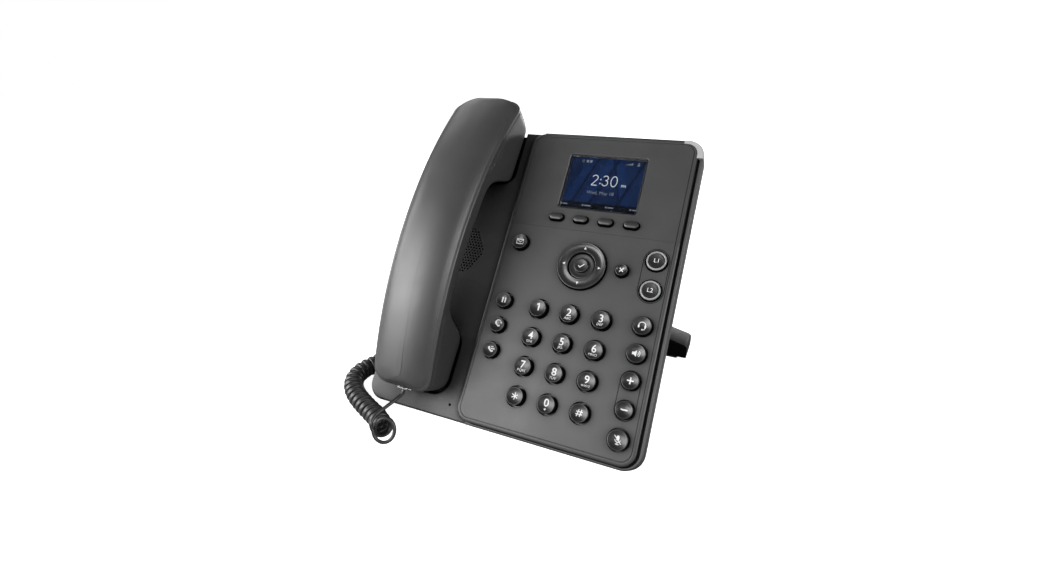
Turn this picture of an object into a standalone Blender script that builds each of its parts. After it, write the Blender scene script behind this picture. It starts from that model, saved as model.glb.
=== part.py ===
# Desk telephone with a corded handset: case, faceplate with sprung keys, screen,
# handset in its cradle, coiled cord and a hinged rear stand.
# Sizes are in millimetres and objects are built in metres, +Z up; the front of the
# phone looks towards -Y.
# Most pieces are drawn in the face frame (x right, y up the slope, z out of the
# faceplate, z = 0 on the faceplate) and hang from one tilted empty. The stand, its pad,
# the front feet and the cord are drawn in world axes.
import math

import bmesh
import bpy
from mathutils import Vector

METRES_PER_MM = 0.001
TILT = math.radians(51.4)          # slope of the face from the desk
SIN_TILT, COS_TILT = math.sin(TILT), math.cos(TILT)
BASE_X, BASE_Y = 18.351, -53.569   # world place of the phone's centre line and front feet

# Fits
GAP = 0.3                          # between fixed pieces
CLEAR = 0.35                       # around keys, lens and other fitted pieces

# Case
CASE_HALF = 91.25
CASE_Y0, CASE_Y1 = -78.7, 122.3
CASE_R = 11.0
WALL = 2.2
RIM_Z = -1.0                       # rim around the faceplate
DECK_Z = -3.0                      # cradle deck
PART_Z = -13.7                     # parting line, lower edge of the top housing
REAR_TOP_Z = PART_Z - GAP
REAR_Z = -29.6                     # back of the rear housing
FOOT_DROP = 1.8                    # desk below the level underside of the case
FOOT_BACK = 10.0                   # foot strip centre behind the front edge
# The rear housing's lower end slopes so that it lies level with the desk.
REAR_Y0 = CASE_Y0 + COS_TILT * (REAR_TOP_Z - REAR_Z) / SIN_TILT
SCREWS = [(-83.0, -12.0), (-83.0, 72.0), (83.5, 22.0)]    # x, y

# Faceplate
KEYPAD_X = 32.75                   # keypad centre column
PLATE_HALF = 56.3
PLATE_Y0, PLATE_Y1 = -77.0, 121.5
PLATE_R = 9.0
PLATE_THICK = 2.7

# Screen window
WINDOW_X, WINDOW_Y = KEYPAD_X - 0.05, 88.9
WINDOW_W, WINDOW_H = 51.5, 38.6

# Handset
HANDSET_X = KEYPAD_X - 87.0
HANDSET_Y0, HANDSET_Y1 = -67.0, 138.0      # mouth end, ear end
HANDSET_MID_Y = 32.0
HANDSET_MID_HALF = 20.96                   # half width at HANDSET_MID_Y
HANDSET_TAPER = 0.0218                     # half width gained per mm towards the ear
RECEIVER_Y = 105.5

# Hinge between rear housing and stand
HINGE_Y, HINGE_Z = 62.0, -35.0
HINGE_HALF = 30.0                  # half length of the stand's barrel
HINGE_PIN_R = 2.0

for old_object in list(bpy.data.objects):
    bpy.data.objects.remove(old_object, do_unlink=True)


# ------------------------------------------------------------------ finishes
TOP_PLASTIC = dict(colour=(0.055, 0.057, 0.062), roughness=0.5)
REAR_PLASTIC = dict(colour=(0.04, 0.04, 0.045), roughness=0.6)
PLATE_PLASTIC = dict(colour=(0.05, 0.052, 0.058), roughness=0.45)
STAND_PLASTIC = dict(colour=(0.06, 0.062, 0.066), roughness=0.5)
KEY_PLASTIC = dict(colour=(0.045, 0.047, 0.053), roughness=0.35)
HOOK_PLASTIC = dict(colour=(0.06, 0.06, 0.065), roughness=0.45)
SHELL_PLASTIC = dict(colour=(0.07, 0.073, 0.08), roughness=0.4)
INNER_SHELL_PLASTIC = dict(colour=(0.055, 0.057, 0.062), roughness=0.45)
JACK_PLASTIC = dict(colour=(0.03, 0.03, 0.03), roughness=0.5)
PLUG_PLASTIC = dict(colour=(0.75, 0.78, 0.8), roughness=0.15)
CORD_PLASTIC = dict(colour=(0.015, 0.015, 0.017), roughness=0.35)
LAMP_PLASTIC = dict(colour=(0.62, 0.64, 0.66), roughness=0.3)
LIGHT_RING_PLASTIC = dict(colour=(0.5, 0.52, 0.5), roughness=0.3)
DOME_PAD_RUBBER = dict(colour=(0.3, 0.3, 0.3), roughness=0.7)
KEYPAD_RUBBER = dict(colour=(0.55, 0.56, 0.55), roughness=0.8)
FOOT_RUBBER = dict(colour=(0.02, 0.02, 0.02), roughness=0.9)
LENS_GLASS = dict(colour=(0.02, 0.03, 0.08), roughness=0.1)
LCD_FRAME = dict(colour=(0.35, 0.36, 0.38), roughness=0.4)
BOARD_GREEN = dict(colour=(0.02, 0.16, 0.06), roughness=0.5)
SPEAKER_METAL = dict(colour=(0.2, 0.2, 0.21), roughness=0.5, metallic=0.4)
SCREW_METAL = dict(colour=(0.5, 0.5, 0.5), roughness=0.35, metallic=1.0)
JACK_METAL = dict(colour=(0.35, 0.35, 0.36), roughness=0.35, metallic=0.8)
RECEIVER_METAL = dict(colour=(0.3, 0.3, 0.3), roughness=0.5, metallic=0.3)
MICROPHONE_METAL = dict(colour=(0.6, 0.6, 0.58), roughness=0.35, metallic=0.9)


def material(name, colour, roughness, metallic=0.0):
    result = bpy.data.materials.new(name)
    result.use_nodes = True
    inputs = result.node_tree.nodes["Principled BSDF"].inputs
    inputs["Base Color"].default_value = (*colour, 1)
    inputs["Roughness"].default_value = roughness
    inputs["Metallic"].default_value = metallic
    return result


# ------------------------------------------------------------------ frames
def on_desk(x, y, z):
    """World point from a place measured from the phone's base."""
    return Vector((x + BASE_X, y + BASE_Y, z))


def face_to_world(x, y, z):
    up_slope, out = y - CASE_Y0, z - REAR_TOP_Z
    return on_desk(x, up_slope * COS_TILT - out * SIN_TILT - FOOT_BACK,
                   up_slope * SIN_TILT + out * COS_TILT + FOOT_DROP)


face_frame = bpy.data.objects.new("phone_tilt", None)
bpy.context.scene.collection.objects.link(face_frame)
face_frame.location = face_to_world(0, 0, 0) * METRES_PER_MM
face_frame.rotation_euler = (TILT, 0, 0)


# ------------------------------------------------------------------ objects
def mesh_object(name, geometry, parent, origin):
    points, faces = geometry
    origin = Vector(origin)
    bm = bmesh.new()
    corners = [bm.verts.new((Vector(point) - origin) * METRES_PER_MM) for point in points]
    for face in faces:
        bm.faces.new([corners[i] for i in face])
    bmesh.ops.remove_doubles(bm, verts=bm.verts, dist=1e-6)
    bmesh.ops.recalc_face_normals(bm, faces=bm.faces)
    mesh = bpy.data.meshes.new(name)
    bm.to_mesh(mesh)
    bm.free()
    result = bpy.data.objects.new(name, mesh)
    bpy.context.scene.collection.objects.link(result)
    result.parent = parent
    result.location = origin * METRES_PER_MM
    return result


def piece(name, geometry, finish, parent=face_frame, origin=(0, 0, 0)):
    result = mesh_object(name, geometry, parent, origin)
    result.data.materials.append(material(name + "_mat", **finish))
    return result


def combine(target, name, solids, operation, parent):
    """Apply a hidden helper made of several solids to the target."""
    helper = mesh_object(name, join(solids), parent, (0, 0, 0))
    helper.hide_render = True
    helper.display_type = 'WIRE'
    modifier = target.modifiers.new(operation.lower(), 'BOOLEAN')
    modifier.operation = operation
    modifier.object = helper
    modifier.solver = 'EXACT'


def cut(target, name, *solids, parent=face_frame):
    combine(target, name, solids, 'DIFFERENCE', parent)


def add(target, name, *solids, parent=face_frame):
    combine(target, name, solids, 'UNION', parent)


# ------------------------------------------------------------------ geometry: (points, faces)
def join(solids):
    points, faces = [], []
    for solid_points, solid_faces in solids:
        offset = len(points)
        points += solid_points
        faces += [[i + offset for i in face] for face in solid_faces]
    return points, faces


def arc(x, y, radius, start, end, steps):
    angles = [math.radians(start + (end - start) * i / steps) for i in range(steps + 1)]
    return [(x + radius * math.cos(a), y + radius * math.sin(a)) for a in angles]


def rounded_rect(x0, y0, x1, y1, radius, steps=4):
    return (arc(x1 - radius, y0 + radius, radius, -90, 0, steps)
            + arc(x1 - radius, y1 - radius, radius, 0, 90, steps)
            + arc(x0 + radius, y1 - radius, radius, 90, 180, steps)
            + arc(x0 + radius, y0 + radius, radius, 180, 270, steps))


def centred_rect(x, y, half_x, half_y, radius, steps):
    return rounded_rect(x - half_x, y - half_y, x + half_x, y + half_y, radius, steps)


def circle(x, y, radius, segments):
    angles = [2 * math.pi * i / segments for i in range(segments)]
    return [(x + radius * math.cos(a), y + radius * math.sin(a)) for a in angles]


def ring(outline, z):
    return [(x, y, z) for x, y in outline]


def ring_across_y(outline, y):
    """Ring from an (x, z) outline."""
    return [(x, y, z) for x, z in outline]


def side_faces(ring_count, size, closed=False):
    faces = []
    for k in range(ring_count if closed else ring_count - 1):
        low, high = k * size, ((k + 1) % ring_count) * size
        for i in range(size):
            j = (i + 1) % size
            faces.append([low + i, low + j, high + j, high + i])
    return faces


def loft(rings, closed=False):
    """Skin over rings; capped at both ends, or closed back on the first ring."""
    size = len(rings[0])
    faces = side_faces(len(rings), size, closed)
    if not closed:
        faces.append(list(range(size))[::-1])
        faces.append([(len(rings) - 1) * size + i for i in range(size)])
    return [point for r in rings for point in r], faces


def prism(outline, z0, z1):
    return loft([ring(outline, z0), ring(outline, z1)])


def box(x0, x1, y0, y1, z0, z1):
    return prism([(x0, y0), (x1, y0), (x1, y1), (x0, y1)], z0, z1)


def along_x(outline, x0, x1):
    """Prism of a (y, z) outline along x."""
    return loft([[(x, y, z) for y, z in outline] for x in (x0, x1)])


def pair_along_x(outline, inner, outer, centre=0.0):
    """Two prisms, left and right of the centre."""
    return [along_x(outline, centre - outer, centre - inner),
            along_x(outline, centre + inner, centre + outer)]


def lathe(x, y, profile, segments):
    """Turned shape; the (radius, z) profile has both ends on the axis or is a closed tube."""
    solid = profile[0][0] == 0
    stations = profile[1:-1] if solid else profile
    rings = [ring(circle(x, y, radius, segments), z) for radius, z in stations]
    return loft(rings, closed=not solid)


# ------------------------------------------------------------------ key layout
PITCH_X, PITCH_Y = 20.0, 18.26
KEY_SEGMENTS = 12
NUMBER_KEY_R = 5.75
LINE_KEY_R = 4.9
LIGHT_RING_R = 6.5
RIGHT_X, LEFT_X = KEYPAD_X + 44.0, KEYPAD_X - 43.5      # side columns
LINE_KEYS = {"line1": 41.4, "line2": 23.0}              # y in the right column
NUMBER_KEYS = ["1", "2", "3", "4", "5", "6", "7", "8", "9", "star", "0", "pound"]
# name, x, y, radius
ROUND_KEYS = [("key_" + label, KEYPAD_X + (i % 3 - 1) * PITCH_X, -(i // 3) * PITCH_Y, NUMBER_KEY_R)
              for i, label in enumerate(NUMBER_KEYS)]
ROUND_KEYS += [(line + "_key", RIGHT_X, y, LINE_KEY_R) for line, y in LINE_KEYS.items()]
ROUND_KEYS += [
    ("headset_key", RIGHT_X, 1.2, 5.45),
    ("speaker_key", RIGHT_X, -15.1, 5.45),
    ("volume_up_key", RIGHT_X, -30.7, 5.0),
    ("volume_down_key", RIGHT_X, -47.0, 5.0),
    ("mute_key", RIGHT_X, -63.4, 5.75),
    ("hold_key", LEFT_X, 1.1, 4.9),
    ("redial_key", LEFT_X, -15.0, 4.9),
    ("transfer_key", LEFT_X, -31.3, 4.9),
    ("message_key", LEFT_X, 41.1, 5.0),
    ("cancel_key", KEYPAD_X + 25.2, 32.2, 3.75),
]
SOFT_KEY_X = [KEYPAD_X - 24.3 + 16.3 * i for i in range(4)]
SOFT_KEY_Y = 61.9
SOFT_HALF_X, SOFT_HALF_Y = 4.9, 2.6
NAV_X, NAV_Y = KEYPAD_X, 31.5
NAV_R, NAV_HOLE_R, OK_R = 15.25, 8.6, 8.2
NAV_PIVOT_Z = -2.0


def soft_key_outline(x, grow):
    return centred_rect(x, SOFT_KEY_Y, SOFT_HALF_X + grow, SOFT_HALF_Y + grow,
                        SOFT_HALF_Y + grow, 3)


# ------------------------------------------------------------------ top housing
def case_outline(inset):
    return rounded_rect(-CASE_HALF + inset, CASE_Y0 + inset, CASE_HALF - inset,
                        CASE_Y1 - inset, CASE_R - inset)


RIM_BEVEL = 1.0
top_housing = piece("top_housing", loft([
    ring(case_outline(RIM_BEVEL), RIM_Z),
    ring(case_outline(0), RIM_Z - RIM_BEVEL),
    ring(case_outline(0), PART_Z),
    ring(case_outline(WALL), PART_Z),
    ring(case_outline(WALL), DECK_Z - WALL),
]), TOP_PLASTIC)

# Cradle pockets as x0, y0, x1, y1; the ear pocket is open through the top edge
EAR_POCKET = (HANDSET_X - 23.8, 83.0, HANDSET_X + 23.8, 140.0)
MOUTH_POCKET = (HANDSET_X - 20.2, -66.0, HANDSET_X + 20.2, -23.0)
EAR_POCKET_R, MOUTH_POCKET_R = 9, 11
POCKET_FLOOR_Z = -8.5
POCKET_WALL = 2
POCKET_BLOCK_Z = (POCKET_FLOOR_Z - WALL, -4.0)


def pocket_block(x0, y0, x1, y1, radius):
    outline = rounded_rect(x0 - POCKET_WALL, y0 - POCKET_WALL, x1 + POCKET_WALL, y1, radius, 3)
    return prism(outline, *POCKET_BLOCK_Z)


screw_bosses = [prism(circle(x, y, 3.4, 10), -25.6, -4.5) for x, y in SCREWS]
add(top_housing, "cut_pocket_walls",
    pocket_block(*EAR_POCKET[:3], CASE_Y1 - 0.8, 4),
    pocket_block(*MOUTH_POCKET[:3], MOUTH_POCKET[3] + POCKET_WALL, MOUTH_POCKET_R),
    *screw_bosses)


def deck_step():
    """Plan lowered to the deck: the faceplate seat and everything to its left."""
    edge_x = KEYPAD_X - PLATE_HALF + 8          # under the faceplate's left edge
    radius = PLATE_R + 0.3
    x1 = KEYPAD_X + PLATE_HALF + CLEAR
    y0, y1 = PLATE_Y0 - 0.25, PLATE_Y1 + 0.25
    left, below, above = -96, -84, 128          # beyond the case
    return ([(left, below), (edge_x, below), (edge_x, y0)]
            + arc(x1 - radius, y0 + radius, radius, -90, 0, 4)
            + arc(x1 - radius, y1 - radius, radius, 0, 90, 4)
            + [(edge_x, y1), (edge_x, above), (left, above)])


cut(top_housing, "cut_step", prism(deck_step(), DECK_Z, 4.0))

PLATE_LEDGE = 4.7                   # width of the ledge that carries the faceplate
SPEAKER_X, SPEAKER_Y = KEYPAD_X - 88.0, 32.0
GRILLE_PITCH = 5.0
plate_opening = rounded_rect(KEYPAD_X - PLATE_HALF + PLATE_LEDGE, PLATE_Y0 + PLATE_LEDGE,
                             KEYPAD_X + PLATE_HALF - PLATE_LEDGE, PLATE_Y1 - PLATE_LEDGE, 5, 3)
openings = [prism(plate_opening, -8.0, -1.5),
            prism(rounded_rect(*EAR_POCKET, EAR_POCKET_R, 3), POCKET_FLOOR_Z, 0.0),
            prism(rounded_rect(*MOUTH_POCKET, MOUTH_POCKET_R, 3), POCKET_FLOOR_Z, 0.0)]
openings += [prism(circle(x, y, 1.5, 8), -27.0, -8.0) for x, y in SCREWS]
# Hexagonal loudspeaker grille
for i in range(-3, 4):
    for j in range(-3, 4):
        if abs(i + j) <= 3:
            x = SPEAKER_X + GRILLE_PITCH * (i + j / 2)
            y = SPEAKER_Y + GRILLE_PITCH * j * 0.866
            openings.append(prism(circle(x, y, 1.3, 6), -6.5, 0.0))
# Small hole in the deck near the front edge
openings.append(prism(circle(KEYPAD_X - 62.5, -70.0, 0.9, 6), -6.5, 0.0))
cut(top_housing, "cut_openings", *openings)

HOOK_Y = 106
HOOK_HALF_X, HOOK_HALF_Y = 4, 6     # plunger stem
HOOK_GAP_X, HOOK_GAP_Y = HOOK_HALF_X + CLEAR, HOOK_HALF_Y + CLEAR
cut(top_housing, "cut_hook_hole",
    box(HANDSET_X - HOOK_GAP_X, HANDSET_X + HOOK_GAP_X,
        HOOK_Y - HOOK_GAP_Y, HOOK_Y + HOOK_GAP_Y, -12.0, -7.5))


# ------------------------------------------------------------------ message lamp
# A light pipe that forms the upper right corner of the rim
LAMP_BOTTOM_Z = -11.0


def corner_band(grow, overshoot=0.0):
    """Plan outside the faceplate and inside the case corner."""
    end_x = CASE_HALF - 13.2 - grow
    end_y = CASE_Y1 - 12.2 - grow
    inner_r = PLATE_R + CLEAR - grow
    inner_x, inner_y = KEYPAD_X + PLATE_HALF - PLATE_R, PLATE_Y1 - PLATE_R
    outer = ([(end_x, CASE_Y1 + overshoot)]
             + arc(CASE_HALF - CASE_R, CASE_Y1 - CASE_R, CASE_R + overshoot, 90, 0, 5)
             + [(CASE_HALF + overshoot, end_y)])
    inner = ([(inner_x + inner_r, end_y)]
             + arc(inner_x, inner_y, inner_r, 0, 90, 5)
             + [(end_x, inner_y + inner_r)])
    return outer + inner


cut(top_housing, "cut_lamp", prism(corner_band(GAP, overshoot=2.0), LAMP_BOTTOM_Z - GAP, 3.0))
piece("message_lamp", prism(corner_band(0.0), LAMP_BOTTOM_Z, RIM_Z + 0.05), LAMP_PLASTIC)


# ------------------------------------------------------------------ faceplate
def plate_outline(inset):
    return rounded_rect(KEYPAD_X - PLATE_HALF + inset, PLATE_Y0 + inset,
                        KEYPAD_X + PLATE_HALF - inset, PLATE_Y1 - inset, PLATE_R - inset)


# inset, z
PLATE_LEVELS = [(0, -PLATE_THICK), (0, -1.0), (0.9, -0.25), (2.2, 0.0)]
faceplate = piece("faceplate", loft([ring(plate_outline(inset), z) for inset, z in PLATE_LEVELS]),
                  PLATE_PLASTIC)

hole_outlines = []
for name, x, y, radius in ROUND_KEYS:
    # A line key shares its hole with its light ring.
    hole_r = LIGHT_RING_R if name.startswith("line") else radius
    hole_outlines.append(circle(x, y, hole_r + CLEAR, KEY_SEGMENTS))
hole_outlines += [soft_key_outline(x, CLEAR) for x in SOFT_KEY_X]
hole_outlines.append(circle(NAV_X, NAV_Y, NAV_R + CLEAR, 24))
hole_outlines.append(centred_rect(WINDOW_X, WINDOW_Y, WINDOW_W / 2, WINDOW_H / 2, 1.6, 2))
cut(faceplate, "cut_faceplate_holes", *[prism(outline, -4.0, 1.0) for outline in hole_outlines])

# ------------------------------------------------------------------ keys
KEY_TOP_Z = 1.9
KEY_BOTTOM_Z, FLANGE_TOP_Z = -4.7, -3.3     # flange that holds a key under the faceplate


def round_key(name, x, y, radius):
    profile = [(0, KEY_BOTTOM_Z), (radius + 0.9, KEY_BOTTOM_Z), (radius + 0.9, FLANGE_TOP_Z),
               (radius, FLANGE_TOP_Z), (radius, KEY_TOP_Z - 0.9), (radius - 1.2, KEY_TOP_Z),
               (0, KEY_TOP_Z)]
    piece(name, lathe(x, y, profile, KEY_SEGMENTS), KEY_PLASTIC, origin=(x, y, 0))


def soft_key(name, x):
    # outline growth, z
    levels = [(0.7, KEY_BOTTOM_Z), (0.7, FLANGE_TOP_Z), (0, FLANGE_TOP_Z), (0, 0.9), (-0.8, 1.5)]
    piece(name, loft([ring(soft_key_outline(x, grow), z) for grow, z in levels]),
          KEY_PLASTIC, origin=(x, SOFT_KEY_Y, 0))


for key in ROUND_KEYS:
    round_key(*key)
for i, x in enumerate(SOFT_KEY_X):
    soft_key("softkey_%d" % (i + 1), x)

# Profiles below are (radius, z).
RING_HOLE_R = LINE_KEY_R + CLEAR
LIGHT_RING = [(RING_HOLE_R, -2.6), (LIGHT_RING_R, -2.6), (LIGHT_RING_R, 0.6), (RING_HOLE_R, 0.9)]
for line, y in LINE_KEYS.items():
    piece(line + "_light_ring", lathe(RIGHT_X, y, LIGHT_RING, KEY_SEGMENTS), LIGHT_RING_PLASTIC)

NAV_RING = [(NAV_HOLE_R, -4.8), (NAV_R + 0.8, -4.8), (NAV_R + 0.8, -4.0), (NAV_R, -4.0),
            (NAV_R, 0.9), (NAV_R - 1.4, 1.9), (NAV_HOLE_R + 0.9, 1.5), (NAV_HOLE_R, 0.8)]
NAV_DOME_PAD = [(9.2, -6.3), (11.0, -6.3), (11.0, -5.6), (9.2, -5.6)]
OK_KEY = [(0, KEY_BOTTOM_Z), (OK_R, KEY_BOTTOM_Z), (OK_R, 0.3), (OK_R - 0.7, 0.8),
          (5.0, 0.5), (4.4, 1.7), (3.4, 2.1), (0, 2.1)]
piece("nav_ring", lathe(NAV_X, NAV_Y, NAV_RING, 24), KEY_PLASTIC,
      origin=(NAV_X, NAV_Y, NAV_PIVOT_Z))
piece("nav_dome_pad", lathe(NAV_X, NAV_Y, NAV_DOME_PAD, 16), DOME_PAD_RUBBER,
      origin=(NAV_X, NAV_Y, NAV_PIVOT_Z))
piece("ok_key", lathe(NAV_X, NAV_Y, OK_KEY, 20), KEY_PLASTIC, origin=(NAV_X, NAV_Y, 0))

# ------------------------------------------------------------------ screen and electronics
lens = centred_rect(WINDOW_X, WINDOW_Y, WINDOW_W / 2 - CLEAR, WINDOW_H / 2 - CLEAR, 1.3, 2)
piece("screen_lens", prism(lens, -1.9, -0.7), LENS_GLASS)
piece("lcd_module", prism(centred_rect(WINDOW_X, WINDOW_Y, 29, 22, 1.0, 1), -7.0, -3.1), LCD_FRAME)

mat_outline = rounded_rect(KEYPAD_X - 50, -71.0, KEYPAD_X + 50, 65.8, 3, 2)
keypad_mat = piece("keypad_mat", prism(mat_outline, -7.9, -7.2), KEYPAD_RUBBER)


def dome(x, y, base_r, top_r, segments):
    """Rubber dome under a key."""
    return lathe(x, y, [(0, -7.6), (base_r, -7.6), (top_r, -6.0), (0, -6.0)], segments)


domes = [dome(x, y, 2.6, 1.9, 6) for _, x, y, _ in ROUND_KEYS]
domes += [dome(x, SOFT_KEY_Y, 2.2, 1.6, 6) for x in SOFT_KEY_X]
domes.append(dome(NAV_X, NAV_Y, 2.6, 1.9, 8))
add(keypad_mat, "cut_mat_domes", *domes)

board_outline = rounded_rect(KEYPAD_X - 50, -71.5, KEYPAD_X + 46.7, 115.0, 2, 2)
piece("main_pcb", prism(board_outline, -9.8, -8.2), BOARD_GREEN)

LOUDSPEAKER = [(0, -17.5), (9.0, -17.5), (9.0, -11.5), (16.8, -8.4), (17.6, -8.4),
               (17.6, -5.7), (15.8, -5.7), (5.5, -8.0), (0, -8.0)]
piece("loudspeaker", lathe(SPEAKER_X, SPEAKER_Y, LOUDSPEAKER, 20), SPEAKER_METAL)

# growth around the stem, z: flange, stem, tapered tip
HOOK_LEVELS = [(2, -17.0), (2, -15.3), (0, -15.3), (0, -8.1), (-1, -7.3)]
hook_rings = [ring(centred_rect(HANDSET_X, HOOK_Y, HOOK_HALF_X + grow, HOOK_HALF_Y + grow, 1, 1), z)
              for grow, z in HOOK_LEVELS]
piece("hookswitch_plunger", loft(hook_rings), HOOK_PLASTIC, origin=(HANDSET_X, HOOK_Y, -10))


# ------------------------------------------------------------------ rear housing
def rear_ring(z, inset):
    depth = (REAR_TOP_Z - z) / (REAR_TOP_Z - REAR_Z)     # 0 at the parting line, 1 at the back
    side = 3.0 * depth + inset
    y0 = CASE_Y0 + (REAR_Y0 - CASE_Y0) * depth + inset * 1.25
    outline = rounded_rect(-CASE_HALF + side, y0, CASE_HALF - side, CASE_Y1 - side,
                           CASE_R - inset)
    return ring(outline, z)


rear_housing = piece("rear_housing", loft([
    rear_ring(REAR_Z, 0), rear_ring(REAR_TOP_Z, 0),
    rear_ring(REAR_TOP_Z, WALL), rear_ring(REAR_Z + WALL, WALL),
]), REAR_PLASTIC)

# Recess in the back that the jacks open into
RECESS_X0, RECESS_X1 = -50.0, 36.0
RECESS_Y0, RECESS_Y1 = -32.0, 5.5
RECESS_FLOOR_Z = -14.2
RECESS_WALL = 2.0
recess_block = box(RECESS_X0 - RECESS_WALL, RECESS_X1 + RECESS_WALL, RECESS_Y0 - RECESS_WALL,
                   RECESS_Y1 + 2.5, REAR_Z + 1.5, RECESS_FLOOR_Z + RECESS_WALL)
# Hinge lug in side view: y, z
LUG = [(HINGE_Y - 6, REAR_Z + 1), (HINGE_Y - 4, HINGE_Z - 1), (HINGE_Y - 2.6, HINGE_Z - 3.4),
       (HINGE_Y, HINGE_Z - 4.4),
       (HINGE_Y + 2.6, HINGE_Z - 3.4), (HINGE_Y + 4, HINGE_Z - 1), (HINGE_Y + 6, REAR_Z + 1)]
add(rear_housing, "cut_rear_adds", recess_block,
    *pair_along_x(LUG, HINGE_HALF + 0.5, HINGE_HALF + 6.5))
add(rear_housing, "cut_rear_pins",
    *pair_along_x(circle(HINGE_Y, HINGE_Z, HINGE_PIN_R, 10), HINGE_HALF - 4, HINGE_HALF + 4))

# Jack bodies: x0, x1
JACKS = {"network_jacks": (-13.0, 20.0), "handset_jacks": (-48.0, -24.0),
         "power_jack": (23.0, 33.0)}
JACK_Y0, JACK_Y1 = 6.2, 21.0
JACK_Z0, JACK_Z1 = -24.0, -10.4
rear_openings = [box(x0 - GAP, x1 + GAP, RECESS_Y1 - 1.5, RECESS_Y1 + 4, JACK_Z0 - GAP, -11.5)
                 for x0, x1 in JACKS.values()]
rear_openings += [prism(circle(x, y, 1.6, 8), -30.5, -25.0) for x, y in SCREWS]
# Row of six slots at the right of the back
rear_openings += [box(x - 1.2, x + 1.2, 60, 84, -30.5, -26.5) for x in range(58, 82, 4)]
cut(rear_housing, "cut_recess",
    box(RECESS_X0, RECESS_X1, RECESS_Y0, RECESS_Y1, REAR_Z - 2, RECESS_FLOOR_Z))
cut(rear_housing, "cut_rear_openings", *rear_openings)

# radius, z
CASE_SCREW = [(0, -31.4), (2.6, -31.4), (3.0, -30.6), (3.0, -29.9), (1.25, -29.9),
              (1.25, -13.0), (0, -13.0)]
for i, (x, y) in enumerate(SCREWS):
    piece("case_screw_%d" % (i + 1), lathe(x, y, CASE_SCREW, 10), SCREW_METAL)

# ------------------------------------------------------------------ jacks
PORT_INSET = 1.8                   # from a jack's side to its port
HANDSET_PORT_W = 8.2


def jack_body(name, finish):
    return piece(name, box(*JACKS[name], JACK_Y0, JACK_Y1, JACK_Z0, JACK_Z1), finish)


def double_jack(name, finish, port_width, port_z0, port_z1):
    body = jack_body(name, finish)
    x0, x1 = JACKS[name][0] + PORT_INSET, JACKS[name][1] - PORT_INSET
    ports = [box(a, b, JACK_Y0 - 2, JACK_Y1 - 3, port_z0, port_z1)
             for a, b in ((x0, x0 + port_width), (x1 - port_width, x1))]
    cut(body, "cut_" + name, *ports)


double_jack("network_jacks", JACK_METAL, port_width=11.8, port_z0=-22.3, port_z1=-14.2)
double_jack("handset_jacks", JACK_PLASTIC, port_width=HANDSET_PORT_W,
            port_z0=-22.0, port_z1=-15.0)

# Annular socket that leaves a centre pin
power_jack = jack_body("power_jack", JACK_PLASTIC)
power_x = sum(JACKS["power_jack"]) / 2
pin_outline, socket_outline = [circle(power_x, -18, radius, 12) for radius in (1.1, 3.3)]
socket_y0, socket_y1 = JACK_Y0 - 2, JACK_Y1 - 4
cut(power_jack, "cut_power_jack", loft([
    ring_across_y(socket_outline, socket_y0), ring_across_y(socket_outline, socket_y1),
    ring_across_y(pin_outline, socket_y1), ring_across_y(pin_outline, socket_y0),
], closed=True))

# ------------------------------------------------------------------ front feet
# Two strips under the level underside of the case
FOOT_X, FOOT_HALF_X, FOOT_HALF_Y = 58.0, 22.0, 5.5
for name, x in (("front_foot_left", BASE_X - FOOT_X), ("front_foot_right", BASE_X + FOOT_X)):
    piece(name, box(x - FOOT_HALF_X, x + FOOT_HALF_X, BASE_Y - FOOT_HALF_Y,
                    BASE_Y + FOOT_HALF_Y, 0.0, FOOT_DROP - GAP),
          FOOT_RUBBER, parent=None, origin=(x, BASE_Y, 0))

# ------------------------------------------------------------------ stand
STAND_Y0, STAND_Y1 = 129.0 + BASE_Y, 154.0 + BASE_Y      # front and back of the foot
# Foot cross-section at its front: x from the centre line, z
STAND_FOOT = [(-92, 2), (92, 2), (92, 9), (90.6, 11.8), (88, 13), (58, 22),
              (-58, 22), (-88, 13), (-90.6, 11.8), (-92, 9)]
hinge = face_to_world(0, HINGE_Y, HINGE_Z)
foot_front = [(x + BASE_X, z) for x, z in STAND_FOOT]
foot_back = [(x, z * 0.88 + 0.24) for x, z in foot_front]
stand = piece("stand",
              loft([ring_across_y(foot_front, STAND_Y0), ring_across_y(foot_back, STAND_Y1)]),
              STAND_PLASTIC, parent=None, origin=hinge)

neck_along = Vector((0, (STAND_Y0 + STAND_Y1) / 2 - 2 - hinge.y, 10 - hinge.z)).normalized()
neck_across = Vector((0, -neck_along.z, neck_along.y))
# distance from the hinge, half width, half thickness
NECK = [(1.0, 27, 3.0), (40, 30, 3.2), (96.0, 60, 4.5)]


def neck_section(distance, half_width, half_thick):
    centre = hinge + neck_along * distance
    return [tuple(centre + Vector((side * half_width, 0, 0)) + neck_across * (face * half_thick))
            for side, face in ((-1, -1), (1, -1), (1, 1), (-1, 1))]


add(stand, "cut_neck", loft([neck_section(*station) for station in NECK]), parent=None)
add(stand, "cut_barrel",
    along_x(circle(hinge.y, hinge.z, 4.2, 12), BASE_X - HINGE_HALF, BASE_X + HINGE_HALF),
    parent=None)
cut(stand, "cut_pin_holes",
    *pair_along_x(circle(hinge.y, hinge.z, HINGE_PIN_R + CLEAR, 10),
                  HINGE_HALF - 4.4, HINGE_HALF + 2, centre=BASE_X),
    parent=None)
piece("stand_foot_pad",
      box(BASE_X - 88, BASE_X + 88, STAND_Y0 + 0.8, STAND_Y0 + 12.8, 0.0, 1.7),
      FOOT_RUBBER, parent=None, origin=(BASE_X, STAND_Y0 + 7, 0))

# ------------------------------------------------------------------ handset
SEAM_DROP = 3.0                    # seam between the shells, below the edge line
SHELL_WALL = 2.0
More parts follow.
